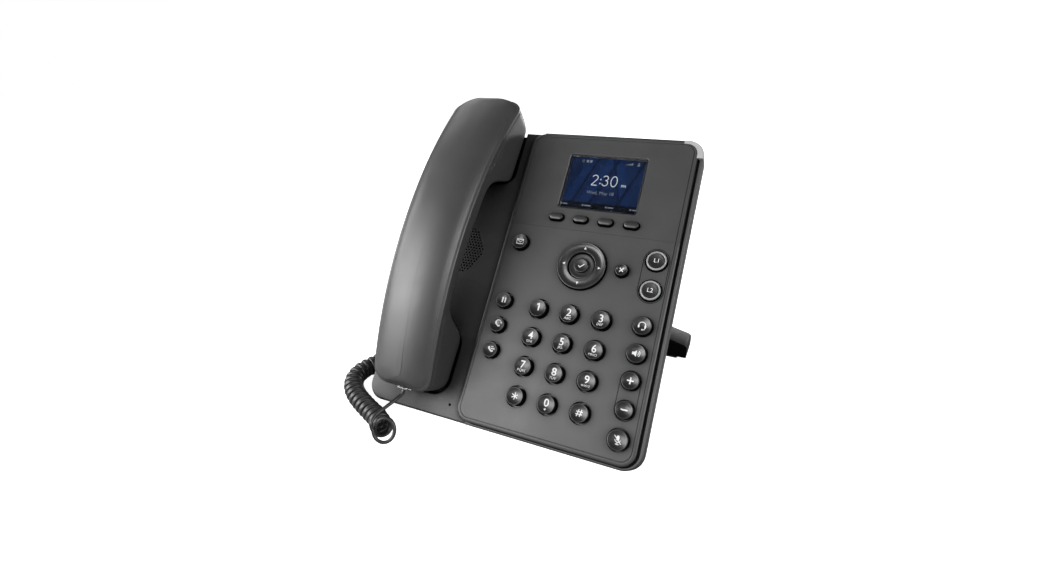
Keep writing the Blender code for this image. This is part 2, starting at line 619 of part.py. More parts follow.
# Underside of the handset: y, z
UNDERSIDE = [
    (-67.0, 11.2), (-66.0, 8.0), (-64.5, 3.5), (-62.5, -1.5), (-59.0, -5.4), (-54.0, -7.0),
    (-32.0, -7.0), (-28.0, -5.5), (-25.0, -1.5), (-21.5, 8.0), (-18.0, 16.0), (-14.0, 21.0),
    (-8.0, 23.2), (32.0, 24.2), (60.0, 23.0), (66.0, 21.6), (72.0, 18.0), (77.0, 11.5),
    (81.0, 4.5), (84.5, -2.5), (88.0, -6.0), (92.0, -7.0), (123.0, -7.0), (127.0, -5.0),
    (130.0, -1.5), (133.0, 3.2), (135.5, 6.8), (137.0, 8.4), (138.0, 9.2)]
# y of the cross-sections between the rounded ends
OUTER_STATIONS = [-40.0, -20.0, 0.0, 20.0, 40.0, 60.0, 80.0, 100.0, 114.0]
INNER_STATIONS = [-54.0, -46.0, -38.0, -32.0, -28.0, -25.0, -21.5, -18.0, -14.0, -8.0, 12.0,
                  32.0, 50.0, 60.0, 66.0, 72.0, 77.0, 81.0, 84.5, 88.0, 92.0, 98.0, 105.0,
                  113.0, 121.0]
# Outer shell: side inset, end inset, height over the edge line
CROWN = [(20.0, 6.5, 7.0), (14.0, 4.2, 6.4), (7.0, 2.2, 4.4), (2.6, 1.0, 1.6),
         (1.4, 0.8, 0.0), (0.2, 0.2, -0.6)]
CROWN_INSIDE = [(20.2, 8.0, 5.0), (14.0, 6.2, 4.3), (7.4, 4.2, 2.2), (4.2, 3.0, -0.4)]
# Inner shell: side inset, end inset, fraction of the way from the seam to the underside
CUP = [(0.4, 0.4, 0.0), (0.5, 0.5, 0.35), (0.8, 0.7, 0.75), (1.6, 1.2, 0.93), (3.6, 2.0, 1.0)]
CUP_INSET = 2.1                    # inside of the inner shell from its outside


def edge_line(y):
    """Height of the edge line that runs round the handset."""
    return 35.6 - (y - HANDSET_MID_Y) ** 2 / 514.0


def seam(y):
    return edge_line(y) - SEAM_DROP


def half_width_at(y):
    return HANDSET_MID_HALF + HANDSET_TAPER * (y - HANDSET_MID_Y)


def underside(y):
    if y <= UNDERSIDE[0][0]:
        return UNDERSIDE[0][1]
    for (y0, z0), (y1, z1) in zip(UNDERSIDE, UNDERSIDE[1:]):
        if y <= y1:
            return z0 + (z1 - z0) * (y - y0) / (y1 - y0)
    return UNDERSIDE[-1][1]


def underside_inside(y):
    return max(underside(y - SHELL_WALL), underside(y), underside(y + SHELL_WALL)) + SHELL_WALL


def half_plan(stations):
    """Right half of the handset plan: (x, y) from the mouth end to the ear end."""
    mouth_r, mouth_half = 9.0, half_width_at(HANDSET_Y0 + 5)
    ear_r, ear_half = 12.0, half_width_at(HANDSET_Y1 - 6)
    return (arc(mouth_half - mouth_r, HANDSET_Y0 + mouth_r, mouth_r, -90, 0, 4)
            + [(half_width_at(y), y) for y in stations]
            + arc(ear_half - ear_r, HANDSET_Y1 - ear_r, ear_r, 0, 90, 4))


def inset_half_plan(stations, side_inset, end_inset):
    """The half plan pulled in at the side, and at the ends over the last 16 mm."""
    middle, half_length = (HANDSET_Y0 + HANDSET_Y1) / 2, (HANDSET_Y1 - HANDSET_Y0) / 2
    points = []
    for x, y in half_plan(stations):
        near_end = max(0.0, (abs(y - middle) - (half_length - 16.0)) / 16.0)
        pull = end_inset * min(1.0, near_end * 1.15)
        points.append((x * (1 - side_inset / half_width_at(y)),
                       y - math.copysign(pull, y - middle)))
    return points


def drape(stations, side_inset, end_inset, height):
    """Ring of the inset plan laid on the surface height(y)."""
    right = inset_half_plan(stations, side_inset, end_inset)
    outline = [(HANDSET_X + x, y) for x, y in right]
    outline += [(HANDSET_X - x, y) for x, y in reversed(right)]
    return [(x, y, height(y)) for x, y in outline]


def shell(rings):
    """Side walls between rings, with ladder caps on the first and last ring."""
    size = len(rings[0])
    last = (len(rings) - 1) * size
    faces = side_faces(len(rings), size)
    rungs = [[i, i + 1, size - 2 - i, size - 1 - i] for i in range(size // 2 - 1)]
    faces += [rung[::-1] for rung in rungs]
    faces += [[last + i for i in rung] for rung in rungs]
    return [point for r in rings for point in r], faces


def crown_rings(levels, seam_inset):
    rings = [drape(OUTER_STATIONS, side, end, lambda y: edge_line(y) + height)
             for side, end, height in levels]
    return rings + [drape(OUTER_STATIONS, seam_inset, seam_inset, seam)]


def cup_rings(inset, surface):
    def height(y, fraction):
        return seam(y) - GAP + fraction * (surface(y) - seam(y) + GAP)

    return [drape(INNER_STATIONS, side + inset, end + inset, lambda y: height(y, fraction))
            for side, end, fraction in CUP]


piece("handset_outer_shell",
      shell(crown_rings(CROWN, 0.0) + crown_rings(CROWN_INSIDE, SHELL_WALL)[::-1]),
      SHELL_PLASTIC, origin=(HANDSET_X, 33, 30))
inner_shell = piece("handset_inner_shell",
                    shell(cup_rings(0.0, underside)[::-1]
                          + cup_rings(CUP_INSET, underside_inside)),
                    INNER_SHELL_PLASTIC, origin=(HANDSET_X, 33, 10))

# Plug opening, receiver holes (six round one) and a row of three microphone holes
receiver_holes = circle(HANDSET_X, RECEIVER_Y, 5.0, 6) + [(HANDSET_X, RECEIVER_Y)]
microphone_holes = [(HANDSET_X + 3.0 * i, -45.5) for i in (-1, 0, 1)]
cut(inner_shell, "cut_handset_holes",
    box(HANDSET_X - 4.2, HANDSET_X + 4.2, -72.0, -56.0, 4.6, 11.8),
    *[prism(circle(x, y, 1.2, 6), -9.0, -4.0) for x, y in receiver_holes],
    *[prism(circle(x, y, 0.9, 6), -9.0, -3.5) for x, y in microphone_holes])

# radius, z
RECEIVER = [(0, 4.6), (8.5, 4.6), (11.5, 3.6), (11.5, 2.4), (5.2, -3.9), (0, -3.9)]
MICROPHONE = [(0, 0.8), (4.2, 0.8), (4.2, -4.0), (0, -4.0)]
piece("receiver_capsule", lathe(HANDSET_X, RECEIVER_Y, RECEIVER, 16), RECEIVER_METAL)
piece("microphone_capsule", lathe(HANDSET_X, -46.0, MICROPHONE, 12), MICROPHONE_METAL)

# ------------------------------------------------------------------ plugs
PLUG_HALF = 3.8
BASE_PLUG_X = JACKS["handset_jacks"][0] + PORT_INSET + HANDSET_PORT_W / 2


def plug(name, x, y0, y1, z0, z1, origin):
    piece(name, box(x - PLUG_HALF, x + PLUG_HALF, y0, y1, z0, z1), PLUG_PLASTIC, origin=origin)


plug("handset_plug", HANDSET_X, -71.0, -57.5, 5.2, 11.2, origin=(HANDSET_X, -60, 8))
plug("base_plug", BASE_PLUG_X, -3.0, 16.5, -21.6, -15.4, origin=(BASE_PLUG_X, 6, -18))

# ------------------------------------------------------------------ coiled cord
COIL_R, COIL_GROOVE, COIL_PITCH = 6.2, 1.3, 3.0
COIL_Z = 6.6
LEAD_R = 1.5
# Coil centre line on the desk: x, y from the phone's base
COIL_PATH = [(-100.0, 52.6), (-110.0, 48.0), (-118.5, 38.5), (-122.6, 26.0), (-121.0, 12.0),
             (-116.0, 0.0), (-108.0, -11.0), (-97.2, -20.0), (-85.7, -26.5), (-75.4, -31.5),
             (-67.0, -36.5), (-61.0, -41.5)]


def smooth_curve(points, steps=6):
    """Catmull-Rom curve through the points."""
    padded = [points[0]] + points + [points[-1]]
    curve = []
    for before, start, end, after in zip(padded, padded[1:], padded[2:], padded[3:]):
        for j in range(steps):
            t = j / steps
            curve.append(0.5 * ((2 * start) + (end - before) * t
                                + (2 * before - 5 * start + 4 * end - after) * t * t
                                + (3 * start - before - 3 * end + after) * t ** 3))
    curve.append(points[-1])
    return curve


def resample(points, step):
    """Points at even spacing, as near to step as fits."""
    lengths = [0.0]
    for start, end in zip(points, points[1:]):
        lengths.append(lengths[-1] + (end - start).length)
    count = max(2, int(round(lengths[-1] / step)))
    result, k = [], 0
    for i in range(count + 1):
        distance = lengths[-1] * i / count
        while k < len(lengths) - 2 and lengths[k + 1] < distance:
            k += 1
        t = (distance - lengths[k]) / max(lengths[k + 1] - lengths[k], 1e-9)
        result.append(points[k].lerp(points[k + 1], t))
    return result


def sweep(path, radii, segments):
    """Round tube along the path with its own radius at each point."""
    rings = []
    up = (path[1] - path[0]).normalized().orthogonal().normalized()
    for i, point in enumerate(path):
        tangent = (path[min(i + 1, len(path) - 1)] - path[max(i - 1, 0)]).normalized()
        up = (up - tangent * up.dot(tangent)).normalized()
        side = tangent.cross(up)
        rings.append([tuple(point + (up * x + side * y) * radii[i])
                      for x, y in circle(0, 0, 1, segments)])
    return loft(rings)


base_lead = [face_to_world(BASE_PLUG_X, -3.4, -18.5), face_to_world(-42.6, -12.0, -21.0),
             face_to_world(-48.0, -26.0, -34.0), on_desk(-66.0, 47.0, 20.0),
             on_desk(-84.0, 52.0, 10.0), on_desk(-97.0, 53.0, 7.2)]
coil = [on_desk(x, y, COIL_Z) for x, y in COIL_PATH]
handset_lead = [on_desk(-58.5, -44.5, 8.0), on_desk(-54.5, -45.0, 13.0),
                on_desk(-53.0, -38.0, 18.5), face_to_world(HANDSET_X, -76.0, 7.6),
                face_to_world(HANDSET_X, -71.4, 8.2)]
base_points = resample(smooth_curve(base_lead), 6.0)
coil_points = resample(smooth_curve(coil), COIL_PITCH / 2)
handset_points = resample(smooth_curve(handset_lead), 4.0)
# The coil alternates between groove and crest, two points to a turn.
cord_radii = ([LEAD_R] * len(base_points)
              + [COIL_R if i % 2 else COIL_R - COIL_GROOVE for i in range(len(coil_points))]
              + [LEAD_R] * len(handset_points))
piece("handset_cord", sweep(base_points + coil_points + handset_points, cord_radii, 8),
      CORD_PLASTIC, parent=None, origin=coil[5])
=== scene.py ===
"""Desk telephone: case, faceplate, keys, screen, handset, coiled cord and stand.

Most pieces are drawn in the face frame, in millimetres: x right, v up the slope, z out of
the faceplate. FACE carries them onto the tilted case of the row frame (metres, z up).
The cord, stand and rubber feet are drawn in row-frame millimetres and carried by ROW.
"""
import bmesh
import bpy
from math import copysign, cos, hypot, pi, radians, sin, sqrt, tan
from mathutils import Matrix, Vector


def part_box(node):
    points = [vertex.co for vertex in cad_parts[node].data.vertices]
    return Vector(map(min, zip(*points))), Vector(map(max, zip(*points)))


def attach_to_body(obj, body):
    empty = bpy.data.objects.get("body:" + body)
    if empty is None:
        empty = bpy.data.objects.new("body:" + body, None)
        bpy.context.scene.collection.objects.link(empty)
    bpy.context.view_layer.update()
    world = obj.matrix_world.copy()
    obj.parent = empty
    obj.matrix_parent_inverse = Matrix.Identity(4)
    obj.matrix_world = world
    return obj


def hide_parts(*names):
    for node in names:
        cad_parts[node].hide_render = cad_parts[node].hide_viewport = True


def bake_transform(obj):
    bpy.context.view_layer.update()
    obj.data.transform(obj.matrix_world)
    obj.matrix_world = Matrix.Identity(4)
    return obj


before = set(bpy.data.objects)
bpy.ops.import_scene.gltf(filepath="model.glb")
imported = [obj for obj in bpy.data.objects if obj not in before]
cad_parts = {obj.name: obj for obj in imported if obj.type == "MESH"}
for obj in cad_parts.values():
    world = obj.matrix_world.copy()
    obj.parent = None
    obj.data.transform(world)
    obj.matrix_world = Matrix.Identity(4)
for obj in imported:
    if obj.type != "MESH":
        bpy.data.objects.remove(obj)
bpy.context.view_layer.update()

# Case
TILT = radians(51.4)
SIN, COS = sin(TILT), cos(TILT)
CASE_HALF, CASE_RADIUS = 91.25, 11.0
CASE_BOTTOM, CASE_TOP = -78.7, 123.5
RIM_Z, DECK_Z, PART_Z, FOOT_Z, REAR_Z = -1.0, -3.0, -13.7, -14.0, -29.6
REAR_BOTTOM = CASE_BOTTOM + COS * (FOOT_Z - REAR_Z) / SIN
GAP, WALL = 0.3, 2.2
CASE_FRONT_Y, CASE_FRONT_HEIGHT = -10.0, 1.8
SCREWS = [(-83.0, -12.0), (-83.0, 72.0), (83.5, 22.0)]
HINGE_V, HINGE_Z, HINGE_HALF = 62.0, -35.0, 30.0

# Faceplate, screen window and key places
PLATE_X, PLATE_HALF, PLATE_RADIUS = 32.75, 56.3, 9.0
PLATE_BOTTOM, PLATE_TOP = -77.0, 122.7
CREASE_V = 54.7
CORNER_X, CORNER_V = PLATE_X + PLATE_HALF - PLATE_RADIUS, PLATE_TOP - PLATE_RADIUS
SCREEN_X, SCREEN_V, SCREEN_WIDTH, SCREEN_HEIGHT = PLATE_X - 0.05, 88.9, 51.5, 38.6
RIGHT_X, LEFT_X = PLATE_X + 44.0, PLATE_X - 43.5
NAV_X, NAV_V = PLATE_X, 31.5
SOFT_X = [PLATE_X + offset for offset in (-24.3, -8.0, 8.3, 24.6)]
SOFT_V = 61.9
LINE_KEY_V = (41.4, 23.0)

# Lamp in the upper right corner: its left end, its lower end and its inner radius
LAMP_X, LAMP_V, NOTCH = CASE_HALF - 13.2, CASE_TOP - 12.2, 7.0

# Handset, hook plunger and cord plugs
SET_X, SET_BOTTOM, SET_TOP = PLATE_X - 87.0, -67.0, 138.0
PLUNGER_V = 106.0
SET_PLUG_X, BASE_PLUG_X, PLUG_HALF = SET_X - 3.4, -42.1, 3.8

left_foot, right_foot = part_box("front_foot_left"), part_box("front_foot_right")
MID_X = (left_foot[0][0] + right_foot[1][0]) / 2 * 1000
MID_Y = (left_foot[0][1] + left_foot[1][1]) / 2 * 1000
MIDDLE = Vector((MID_X, MID_Y, 0))


def place(x, v, z):
    """A point of the face frame in the row frame, still in millimetres."""
    slope, out = v - CASE_BOTTOM, z - FOOT_Z
    return Vector((x + MID_X, slope * COS - out * SIN + CASE_FRONT_Y + MID_Y,
                   slope * SIN + out * COS + CASE_FRONT_HEIGHT))


ROW = Matrix.Scale(0.001, 4)
FACE = Matrix.Translation(place(0, 0, 0) * 0.001) @ Matrix.Rotation(TILT, 4, 'X') @ ROW
FLAT = Matrix.Identity(4)


# ---- Shader helpers
def feed(tree, node, inputs):
    """Fills inputs by name or number: a socket is linked, anything else is a value."""
    for key, value in inputs.items():
        if isinstance(value, bpy.types.NodeSocket):
            tree.links.new(value, node.inputs[key])
        else:
            node.inputs[key].default_value = value


def add(tree, kind, inputs=None, **settings):
    node = tree.nodes.new("ShaderNode" + kind)
    for key, value in settings.items():
        setattr(node, key, value)
    feed(tree, node, inputs or {})
    return node


def new_material(name):
    material = bpy.data.materials.new(name)
    material.use_nodes = True
    tree = material.node_tree
    return material, tree, tree.nodes["Principled BSDF"]


def noise(tree, scale, **inputs):
    coords = add(tree, "TexCoord").outputs["Object"]
    return add(tree, "TexNoise", {"Vector": coords, "Scale": scale, **inputs}).outputs["Fac"]


def ramp(tree, source, start, end):
    """Color ramp between two (position, color) stops."""
    node = add(tree, "ValToRGB", {0: source})
    for element, (position, color) in zip(node.color_ramp.elements, (start, end)):
        element.position = position
        element.color = (*color, 1)
    return node.outputs[0]


def remap(tree, source, source_range, target_range):
    return add(tree, "MapRange", {
        "Value": source, "From Min": source_range[0], "From Max": source_range[1],
        "To Min": target_range[0], "To Max": target_range[1]}).outputs[0]


def multiply(tree, first, second):
    return add(tree, "Math", {0: first, 1: second}, operation='MULTIPLY').outputs[0]


def multiply_color(tree, first, second):
    return add(tree, "Mix", {"Factor": 1.0, "A": first, "B": second},
               data_type='RGBA', blend_type='MULTIPLY').outputs["Result"]


def bump_normal(tree, height, strength):
    return add(tree, "Bump", {"Strength": strength, "Distance": 0.0002,
                              "Height": height}).outputs["Normal"]


def plastic(name, color, roughness, grain=0.25, bump=0.06, edge=0.25, specular=0.5,
            painted_shade_power=0.0, reach=0.055):
    """Moulded plastic: drifting color, rubbed edges, a fine bump and painted shade in hollows.

    grain is the bump's size in mm and bump its strength, edge the share of wear color;
    the last two set the painted shade in hollows: its power and its reach in metres.
    """
    material, tree, shader = new_material(name)
    spread = 0.06
    result = ramp(tree, noise(tree, 18.0, Detail=3.0, Roughness=0.6),
                  (0.35, [c * (1 - spread) for c in color]),
                  (0.65, [c * (1 + spread) for c in color]))
    pointiness = add(tree, "NewGeometry").outputs["Pointiness"]
    wear = ramp(tree, pointiness, (0.52, (0, 0, 0)), (0.60, (1, 1, 1)))
    worn = (color[0] * 1.7, color[1] * 1.7, color[2] * 1.7, 1)
    result = add(tree, "Mix", {"Factor": multiply(tree, wear, edge), "A": result, "B": worn},
                 data_type='RGBA').outputs["Result"]
    if painted_shade_power:
        # Painted shade: ambient occlusion darkens the color and the specular in hollows and
        # beside other parts.
        occlusion = add(tree, "AmbientOcclusion", {"Distance": reach}, samples=10)
        shade = add(tree, "Math", {0: occlusion.outputs["AO"], 1: painted_shade_power},
                    operation='POWER').outputs[0]
        result = multiply_color(tree, result, shade)
        # The socket keeps its plain value under the link.
        shader.inputs["Specular IOR Level"].default_value = specular
        specular = multiply(tree, shade, specular)
    smudge = noise(tree, 45.0, Detail=4.0, Roughness=0.65)
    fine = noise(tree, 1000.0 / grain, Detail=2.0, Roughness=0.7)
    feed(tree, shader, {
        "Base Color": result, "Specular IOR Level": specular, "Coat Roughness": 0.12,
        "Roughness": remap(tree, smudge, (0.3, 0.7), (roughness - 0.05, roughness + 0.05)),
        "Normal": bump_normal(tree, fine, bump)})
    return material


def simple(name, color, roughness, metal=0.0, scale=60.0, spread=0.08, bump=0.05, grain=0.3,
           transmission=0.0, subsurface=0.0):
    """Plain material whose color and roughness drift with one noise.

    scale and spread set the drift; grain is the bump's size in mm, bump its strength.
    """
    material, tree, shader = new_material(name)
    drift = noise(tree, scale, Detail=3.0)
    fine = noise(tree, 1000.0 / grain, Detail=1.0)
    feed(tree, shader, {
        "Base Color": ramp(tree, drift, (0.3, [c * (1 - spread) for c in color]),
                           (0.7, [min(1, c * (1 + spread)) for c in color])),
        "Roughness": remap(tree, drift, (0.3, 0.7),
                           (roughness * 0.85, min(1, roughness * 1.15))),
        "Metallic": metal, "Normal": bump_normal(tree, fine, bump),
        "Transmission Weight": transmission, "Subsurface Weight": subsurface,
        "Subsurface Radius": (0.004, 0.004, 0.004)})
    return material


def screen_color(name, dark, light):
    """Glowing display color: broad slanted drift with a fine grain over it."""
    material, tree, shader = new_material(name)
    coords = add(tree, "TexCoord").outputs["Object"]
    turned = add(tree, "Mapping", {"Vector": coords, "Rotation": (0, 0, radians(35.0)),
                                   "Scale": (22, 22, 22)}).outputs["Vector"]
    drift = add(tree, "TexNoise", {"Scale": 1.2, "Vector": turned}).outputs["Fac"]
    grain = add(tree, "TexNoise", {"Scale": 900.0, "Vector": coords}).outputs["Fac"]
    glow = multiply_color(tree, ramp(tree, drift, (0.38, dark), (0.62, light)),
                          remap(tree, grain, (0.3, 0.7), (0.92, 1.0)))
    feed(tree, shader, {"Base Color": (0.004, 0.005, 0.008, 1), "Specular IOR Level": 0.0,
                        "Emission Color": glow, "Emission Strength": 1.0, "Roughness": 0.3})
    return material


def lens_glass():
    material, tree, shader = new_material("lens")
    smudge = noise(tree, 40.0, Detail=3.0)
    feed(tree, shader, {"Roughness": remap(tree, smudge, (0.35, 0.65), (0.02, 0.07)),
                        "Base Color": (0.93, 0.95, 0.97, 1), "Transmission Weight": 1.0,
                        "IOR": 1.16})
    return material


def floor_material():
    """White to the camera, grey to every other ray."""
    material, tree, shader = new_material("studio_floor")
    drift = noise(tree, 2.5, Detail=4.0)
    seen = ramp(tree, drift, (0.3, (0.86, 0.86, 0.86)), (0.7, (0.90, 0.90, 0.90)))
    unseen = ramp(tree, drift, (0.3, (0.33, 0.33, 0.33)), (0.7, (0.36, 0.36, 0.36)))
    camera_ray = add(tree, "LightPath").outputs["Is Camera Ray"]
    color = add(tree, "Mix", {"Factor": camera_ray, "A": unseen, "B": seen},
                data_type='RGBA').outputs["Result"]
    feed(tree, shader, {"Base Color": color, "Emission Color": (1, 1, 1, 1),
                        "Emission Strength": multiply(tree, camera_ray, 0.93),
                        "Roughness": 0.7, "Specular IOR Level": 0.2})
    return material


# ---- Materials
# Case and faceplate get painted shade in their hollows and beside the handset.
CASE_PLASTIC = plastic("case_plastic", (0.038, 0.0382, 0.0388), roughness=0.46,
                       painted_shade_power=1.75, reach=0.036)
PLATE_PLASTIC = plastic("faceplate_plastic", (0.0305, 0.0307, 0.0313), roughness=0.42,
                        bump=0.05, painted_shade_power=1.1)
SET_PLASTIC = plastic("handset_plastic", (0.032, 0.0322, 0.0328), roughness=0.40, bump=0.05)
SET_INNER = plastic("handset_inner_plastic", (0.030, 0.0302, 0.0308), roughness=0.44)
KEY_PLASTIC = plastic("key_plastic", (0.0060, 0.0061, 0.0064), roughness=0.34, grain=0.4,
                      bump=0.03, edge=0.4)
# Lighter copy of the key plastic: painted light standing in for the nav ring's highlights.
NAV_PLASTIC_LIT = plastic("nav_plastic", (0.012, 0.0122, 0.0126), roughness=0.32, grain=0.4,
                      bump=0.03, edge=0.4)
SOFTKEY_PLASTIC = plastic("softkey_plastic", (0.0135, 0.0137, 0.0142), roughness=0.36,
                          bump=0.04)
# Near-black painted shade for the sides of keys and rings, where they stand in shadow.
SIDE_SHADE = plastic("key_side", (0.0015, 0.0015, 0.0016), roughness=0.6, specular=0.04,
                   edge=0.0)
# Near-black painted shade for hole walls and the stand's front face.
DEEP_SHADE = plastic("key_well", (0.0012, 0.0012, 0.0013), roughness=0.6, specular=0.04,
                   edge=0.0)
STAND_PLASTIC = plastic("stand_plastic", (0.009, 0.0091, 0.0095), roughness=0.5,
                        specular=0.3)
# Dark painted shade for the gap along the plate's right side.
RIM_GAP_SHADE = plastic("rim_gap_painted_shade", (0.006, 0.0061, 0.0063), roughness=0.6, specular=0.2, edge=0.0)
LEGEND_PAINT = simple("legend_paint", (0.50, 0.505, 0.51), roughness=0.5, spread=0.04)
LIGHT_RING = simple("light_ring", (0.20, 0.205, 0.205), roughness=0.3, spread=0.06)
LAMP = simple("lamp_diffuser", (0.29, 0.295, 0.295), roughness=0.3, spread=0.06,
              subsurface=0.2)
RUBBER = simple("foot_rubber", (0.018, 0.018, 0.019), roughness=0.8, bump=0.3, grain=0.5)
CORD = simple("cord_jacket", (0.012, 0.012, 0.0124), roughness=0.36, bump=0.03)
CLEAR = simple("clear_plug", (0.16, 0.17, 0.175), roughness=0.2, spread=0.04,
               transmission=0.7)
GOLD = simple("contact_gold", (0.83, 0.62, 0.25), roughness=0.25, metal=1.0)
SHIELD = simple("jack_shield", (0.55, 0.56, 0.58), roughness=0.32, metal=1.0)
BLACK = simple("jack_black", (0.015, 0.015, 0.016), roughness=0.4)
STEEL = simple("screw_steel", (0.50, 0.50, 0.50), roughness=0.3, metal=1.0)
BOARD = simple("circuit_board", (0.02, 0.14, 0.05), roughness=0.4, spread=0.3, scale=300)
SILICONE = simple("silicone", (0.42, 0.42, 0.41), roughness=0.75)
CONE = simple("speaker_cone", (0.05, 0.05, 0.055), roughness=0.6)
SCREEN_BASE = screen_color("screen_base", (0.004, 0.010, 0.034), (0.006, 0.016, 0.055))
SCREEN_DARK = screen_color("screen_band_dark", (0.002, 0.005, 0.016), (0.003, 0.007, 0.024))
SCREEN_LIGHT = screen_color("screen_band_light", (0.005, 0.015, 0.056),
                            (0.007, 0.021, 0.074))
SCREEN_BAR = screen_color("screen_bar_black", (0.0012, 0.0014, 0.0022),
                          (0.0018, 0.0022, 0.0034))
SCREEN_WHITE = screen_color("screen_white", (0.58, 0.61, 0.66), (0.66, 0.69, 0.73))
SCREEN_GREY = screen_color("screen_grey", (0.16, 0.18, 0.21), (0.22, 0.24, 0.28))
GLASS = lens_glass()


# ---- Mesh helpers. A shape is a pair: points, faces.
def shade(mesh, sharp=38.0):
    for face in mesh.polygons:
        face.use_smooth = True
    mesh.set_sharp_from_angle(angle=radians(sharp))


def make(name, shape, material=None, space=FACE, sharp=38.0):
    """Makes an object, leaving out collapsed and repeated faces."""
    points, faces = shape
    work = bmesh.new()
    corners = [work.verts.new(space @ Vector(point)) for point in points]
    seen = set()
    for face in faces:
        key = frozenset(face)
        if len(key) == len(face) and key not in seen:
            seen.add(key)
            work.faces.new([corners[i] for i in face])
    bmesh.ops.remove_doubles(work, verts=work.verts, dist=2e-7)
    bmesh.ops.recalc_face_normals(work, faces=work.faces)
    mesh = bpy.data.meshes.new(name)
    work.to_mesh(mesh)
    work.free()
    shade(mesh, sharp)
    if material:
        mesh.materials.append(material)
    part = bpy.data.objects.new(name, mesh)
    bpy.context.scene.collection.objects.link(part)
    return part


def bake(part):
    """Applies every modifier."""
    graph = bpy.context.evaluated_depsgraph_get()
    mesh = bpy.data.meshes.new_from_object(part.evaluated_get(graph))
    part.modifiers.clear()
    old = part.data
    part.data = mesh
    bpy.data.meshes.remove(old)
    shade(mesh)


def cut_with(part, cutter, operation='DIFFERENCE'):
    """Boolean of part with the object cutter, which is used up."""
    boolean = part.modifiers.new("b", 'BOOLEAN')
    boolean.operation = operation
    boolean.object = cutter
    boolean.solver = 'EXACT'
    bake(part)
    mesh = cutter.data
    bpy.data.objects.remove(cutter, do_unlink=True)
    bpy.data.meshes.remove(mesh)


def cut(part, shape, operation='DIFFERENCE', space=FLAT):
    cut_with(part, make("tmp_cutter", shape, space=space), operation)


def paint(part, material, test, space=FACE):
    """Gives material to the faces for which test(centre, normal) holds, in millimetres."""
    mesh = part.data
    mesh.materials.append(material)
    index = len(mesh.materials) - 1
    inverse = space.inverted()
    turn = inverse.to_3x3()
    for face in mesh.polygons:
        if test(inverse @ face.center, (turn @ face.normal).normalized()):
            face.material_index = index


def flatten_planes(part):
    """Shades smooth over fillets and flat over planes: edges leaving a plane go sharp."""
    large, limit, tiny = 15.0, radians(38.0), radians(0.8)
    turn = FACE.to_3x3()
    axes = [(turn @ Vector(axis)).normalized() for axis in ((1, 0, 0), (0, 1, 0), (0, 0, 1))]
    work = bmesh.new()
    work.from_mesh(part.data)
    work.normal_update()
    plane = {}
    for face in work.faces:
        facing = [abs(face.normal.dot(axis)) for axis in axes]
        big = face.calc_area() * 1e6 > large
        plane[face.index] = facing[2] > 0.99985 or (big and max(facing[:2]) > 0.99985)
        face.smooth = True
    for edge in work.edges:
        if len(edge.link_faces) != 2:
            edge.smooth = False
            continue
        first, second = edge.link_faces
        bend = first.normal.angle(second.normal, 0.0)
        flat_side = plane[first.index] or plane[second.index]
        edge.smooth = not (bend > limit or (bend > tiny and flat_side))
    work.to_mesh(part.data)
    work.free()


def seat(part):
    """Moves a piece built flat in millimetres onto the tilted face."""
    part.data.transform(FACE)
    part.data.update()
    flatten_planes(part)


def attach(part, body, slot, *nodes):
    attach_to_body(part, body)
    if nodes:
        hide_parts(*nodes)


# ---- Outlines
def ellipse_arc(x, y, radius_x, radius_y, start, end, steps=20):
    angles = [radians(start + (end - start) * i / steps) for i in range(steps + 1)]
    return [(x + radius_x * cos(angle), y + radius_y * sin(angle)) for angle in angles]


def arc(x, y, radius, start, end, steps):
    return ellipse_arc(x, y, radius, radius, start, end, steps)


def rounded(left, bottom, right, top, radius, steps=12):
    return (arc(right - radius, bottom + radius, radius, -90, 0, steps)
            + arc(right - radius, top - radius, radius, 0, 90, steps)
            + arc(left + radius, top - radius, radius, 90, 180, steps)
            + arc(left + radius, bottom + radius, radius, 180, 270, steps))


def circle(x, y, radius, steps):
    angles = [2 * pi * i / steps for i in range(steps)]
    return [(x + radius * cos(angle), y + radius * sin(angle)) for angle in angles]


def grown(left, bottom, right, top, radius, steps=10):
    """Rounded rectangle as a function of how far it is grown."""
    return lambda grow: rounded(left - grow, bottom - grow, right + grow, top + grow,
                                max(0.05, radius + grow), steps)


def round_hole(x, v, radius, steps=56):
    return lambda grow: circle(x, v, radius + grow, steps)


def case_outline(inset):
    return rounded(-CASE_HALF + inset, CASE_BOTTOM + inset, CASE_HALF - inset,
                   CASE_TOP - inset, CASE_RADIUS - inset, 14)


def quarter(steps):
    """Pairs (1 - cos, 1 - sin) over a quarter turn."""
    angles = [pi / 2 * i / steps for i in range(steps + 1)]
    return [(1 - cos(angle), 1 - sin(angle)) for angle in angles]


# ---- Solids
def ring(outline, z):
    return [(x, y, z) for x, y in outline]


def walls(rings, closed=False):
    """Quads between successive rings of points."""
    size, count = len(rings[0]), len(rings)
    faces = []
    for k in range(count if closed else count - 1):
        low, high = k * size, ((k + 1) % count) * size
        for i in range(size):
            j = (i + 1) % size
            faces.append([low + i, low + j, high + j, high + i])
    return [point for points in rings for point in points], faces


def loft(rings, closed=False):
    points, faces = walls(rings, closed)
    if not closed:
        size = len(rings[0])
        faces.append(list(range(size))[::-1])
        faces.append([len(points) - size + i for i in range(size)])
    return points, faces


def join(*shapes):
    points, faces = [], []
    for more_points, more_faces in shapes:
        start = len(points)
        points += list(more_points)
        faces += [[i + start for i in face] for face in more_faces]
    return points, faces


def prism(outline, bottom, top):
    return loft([ring(outline, bottom), ring(outline, top)])


def box(left, right, v_low, v_high, bottom, top):
    return prism([(left, v_low), (right, v_low), (right, v_high), (left, v_high)],
                 bottom, top)


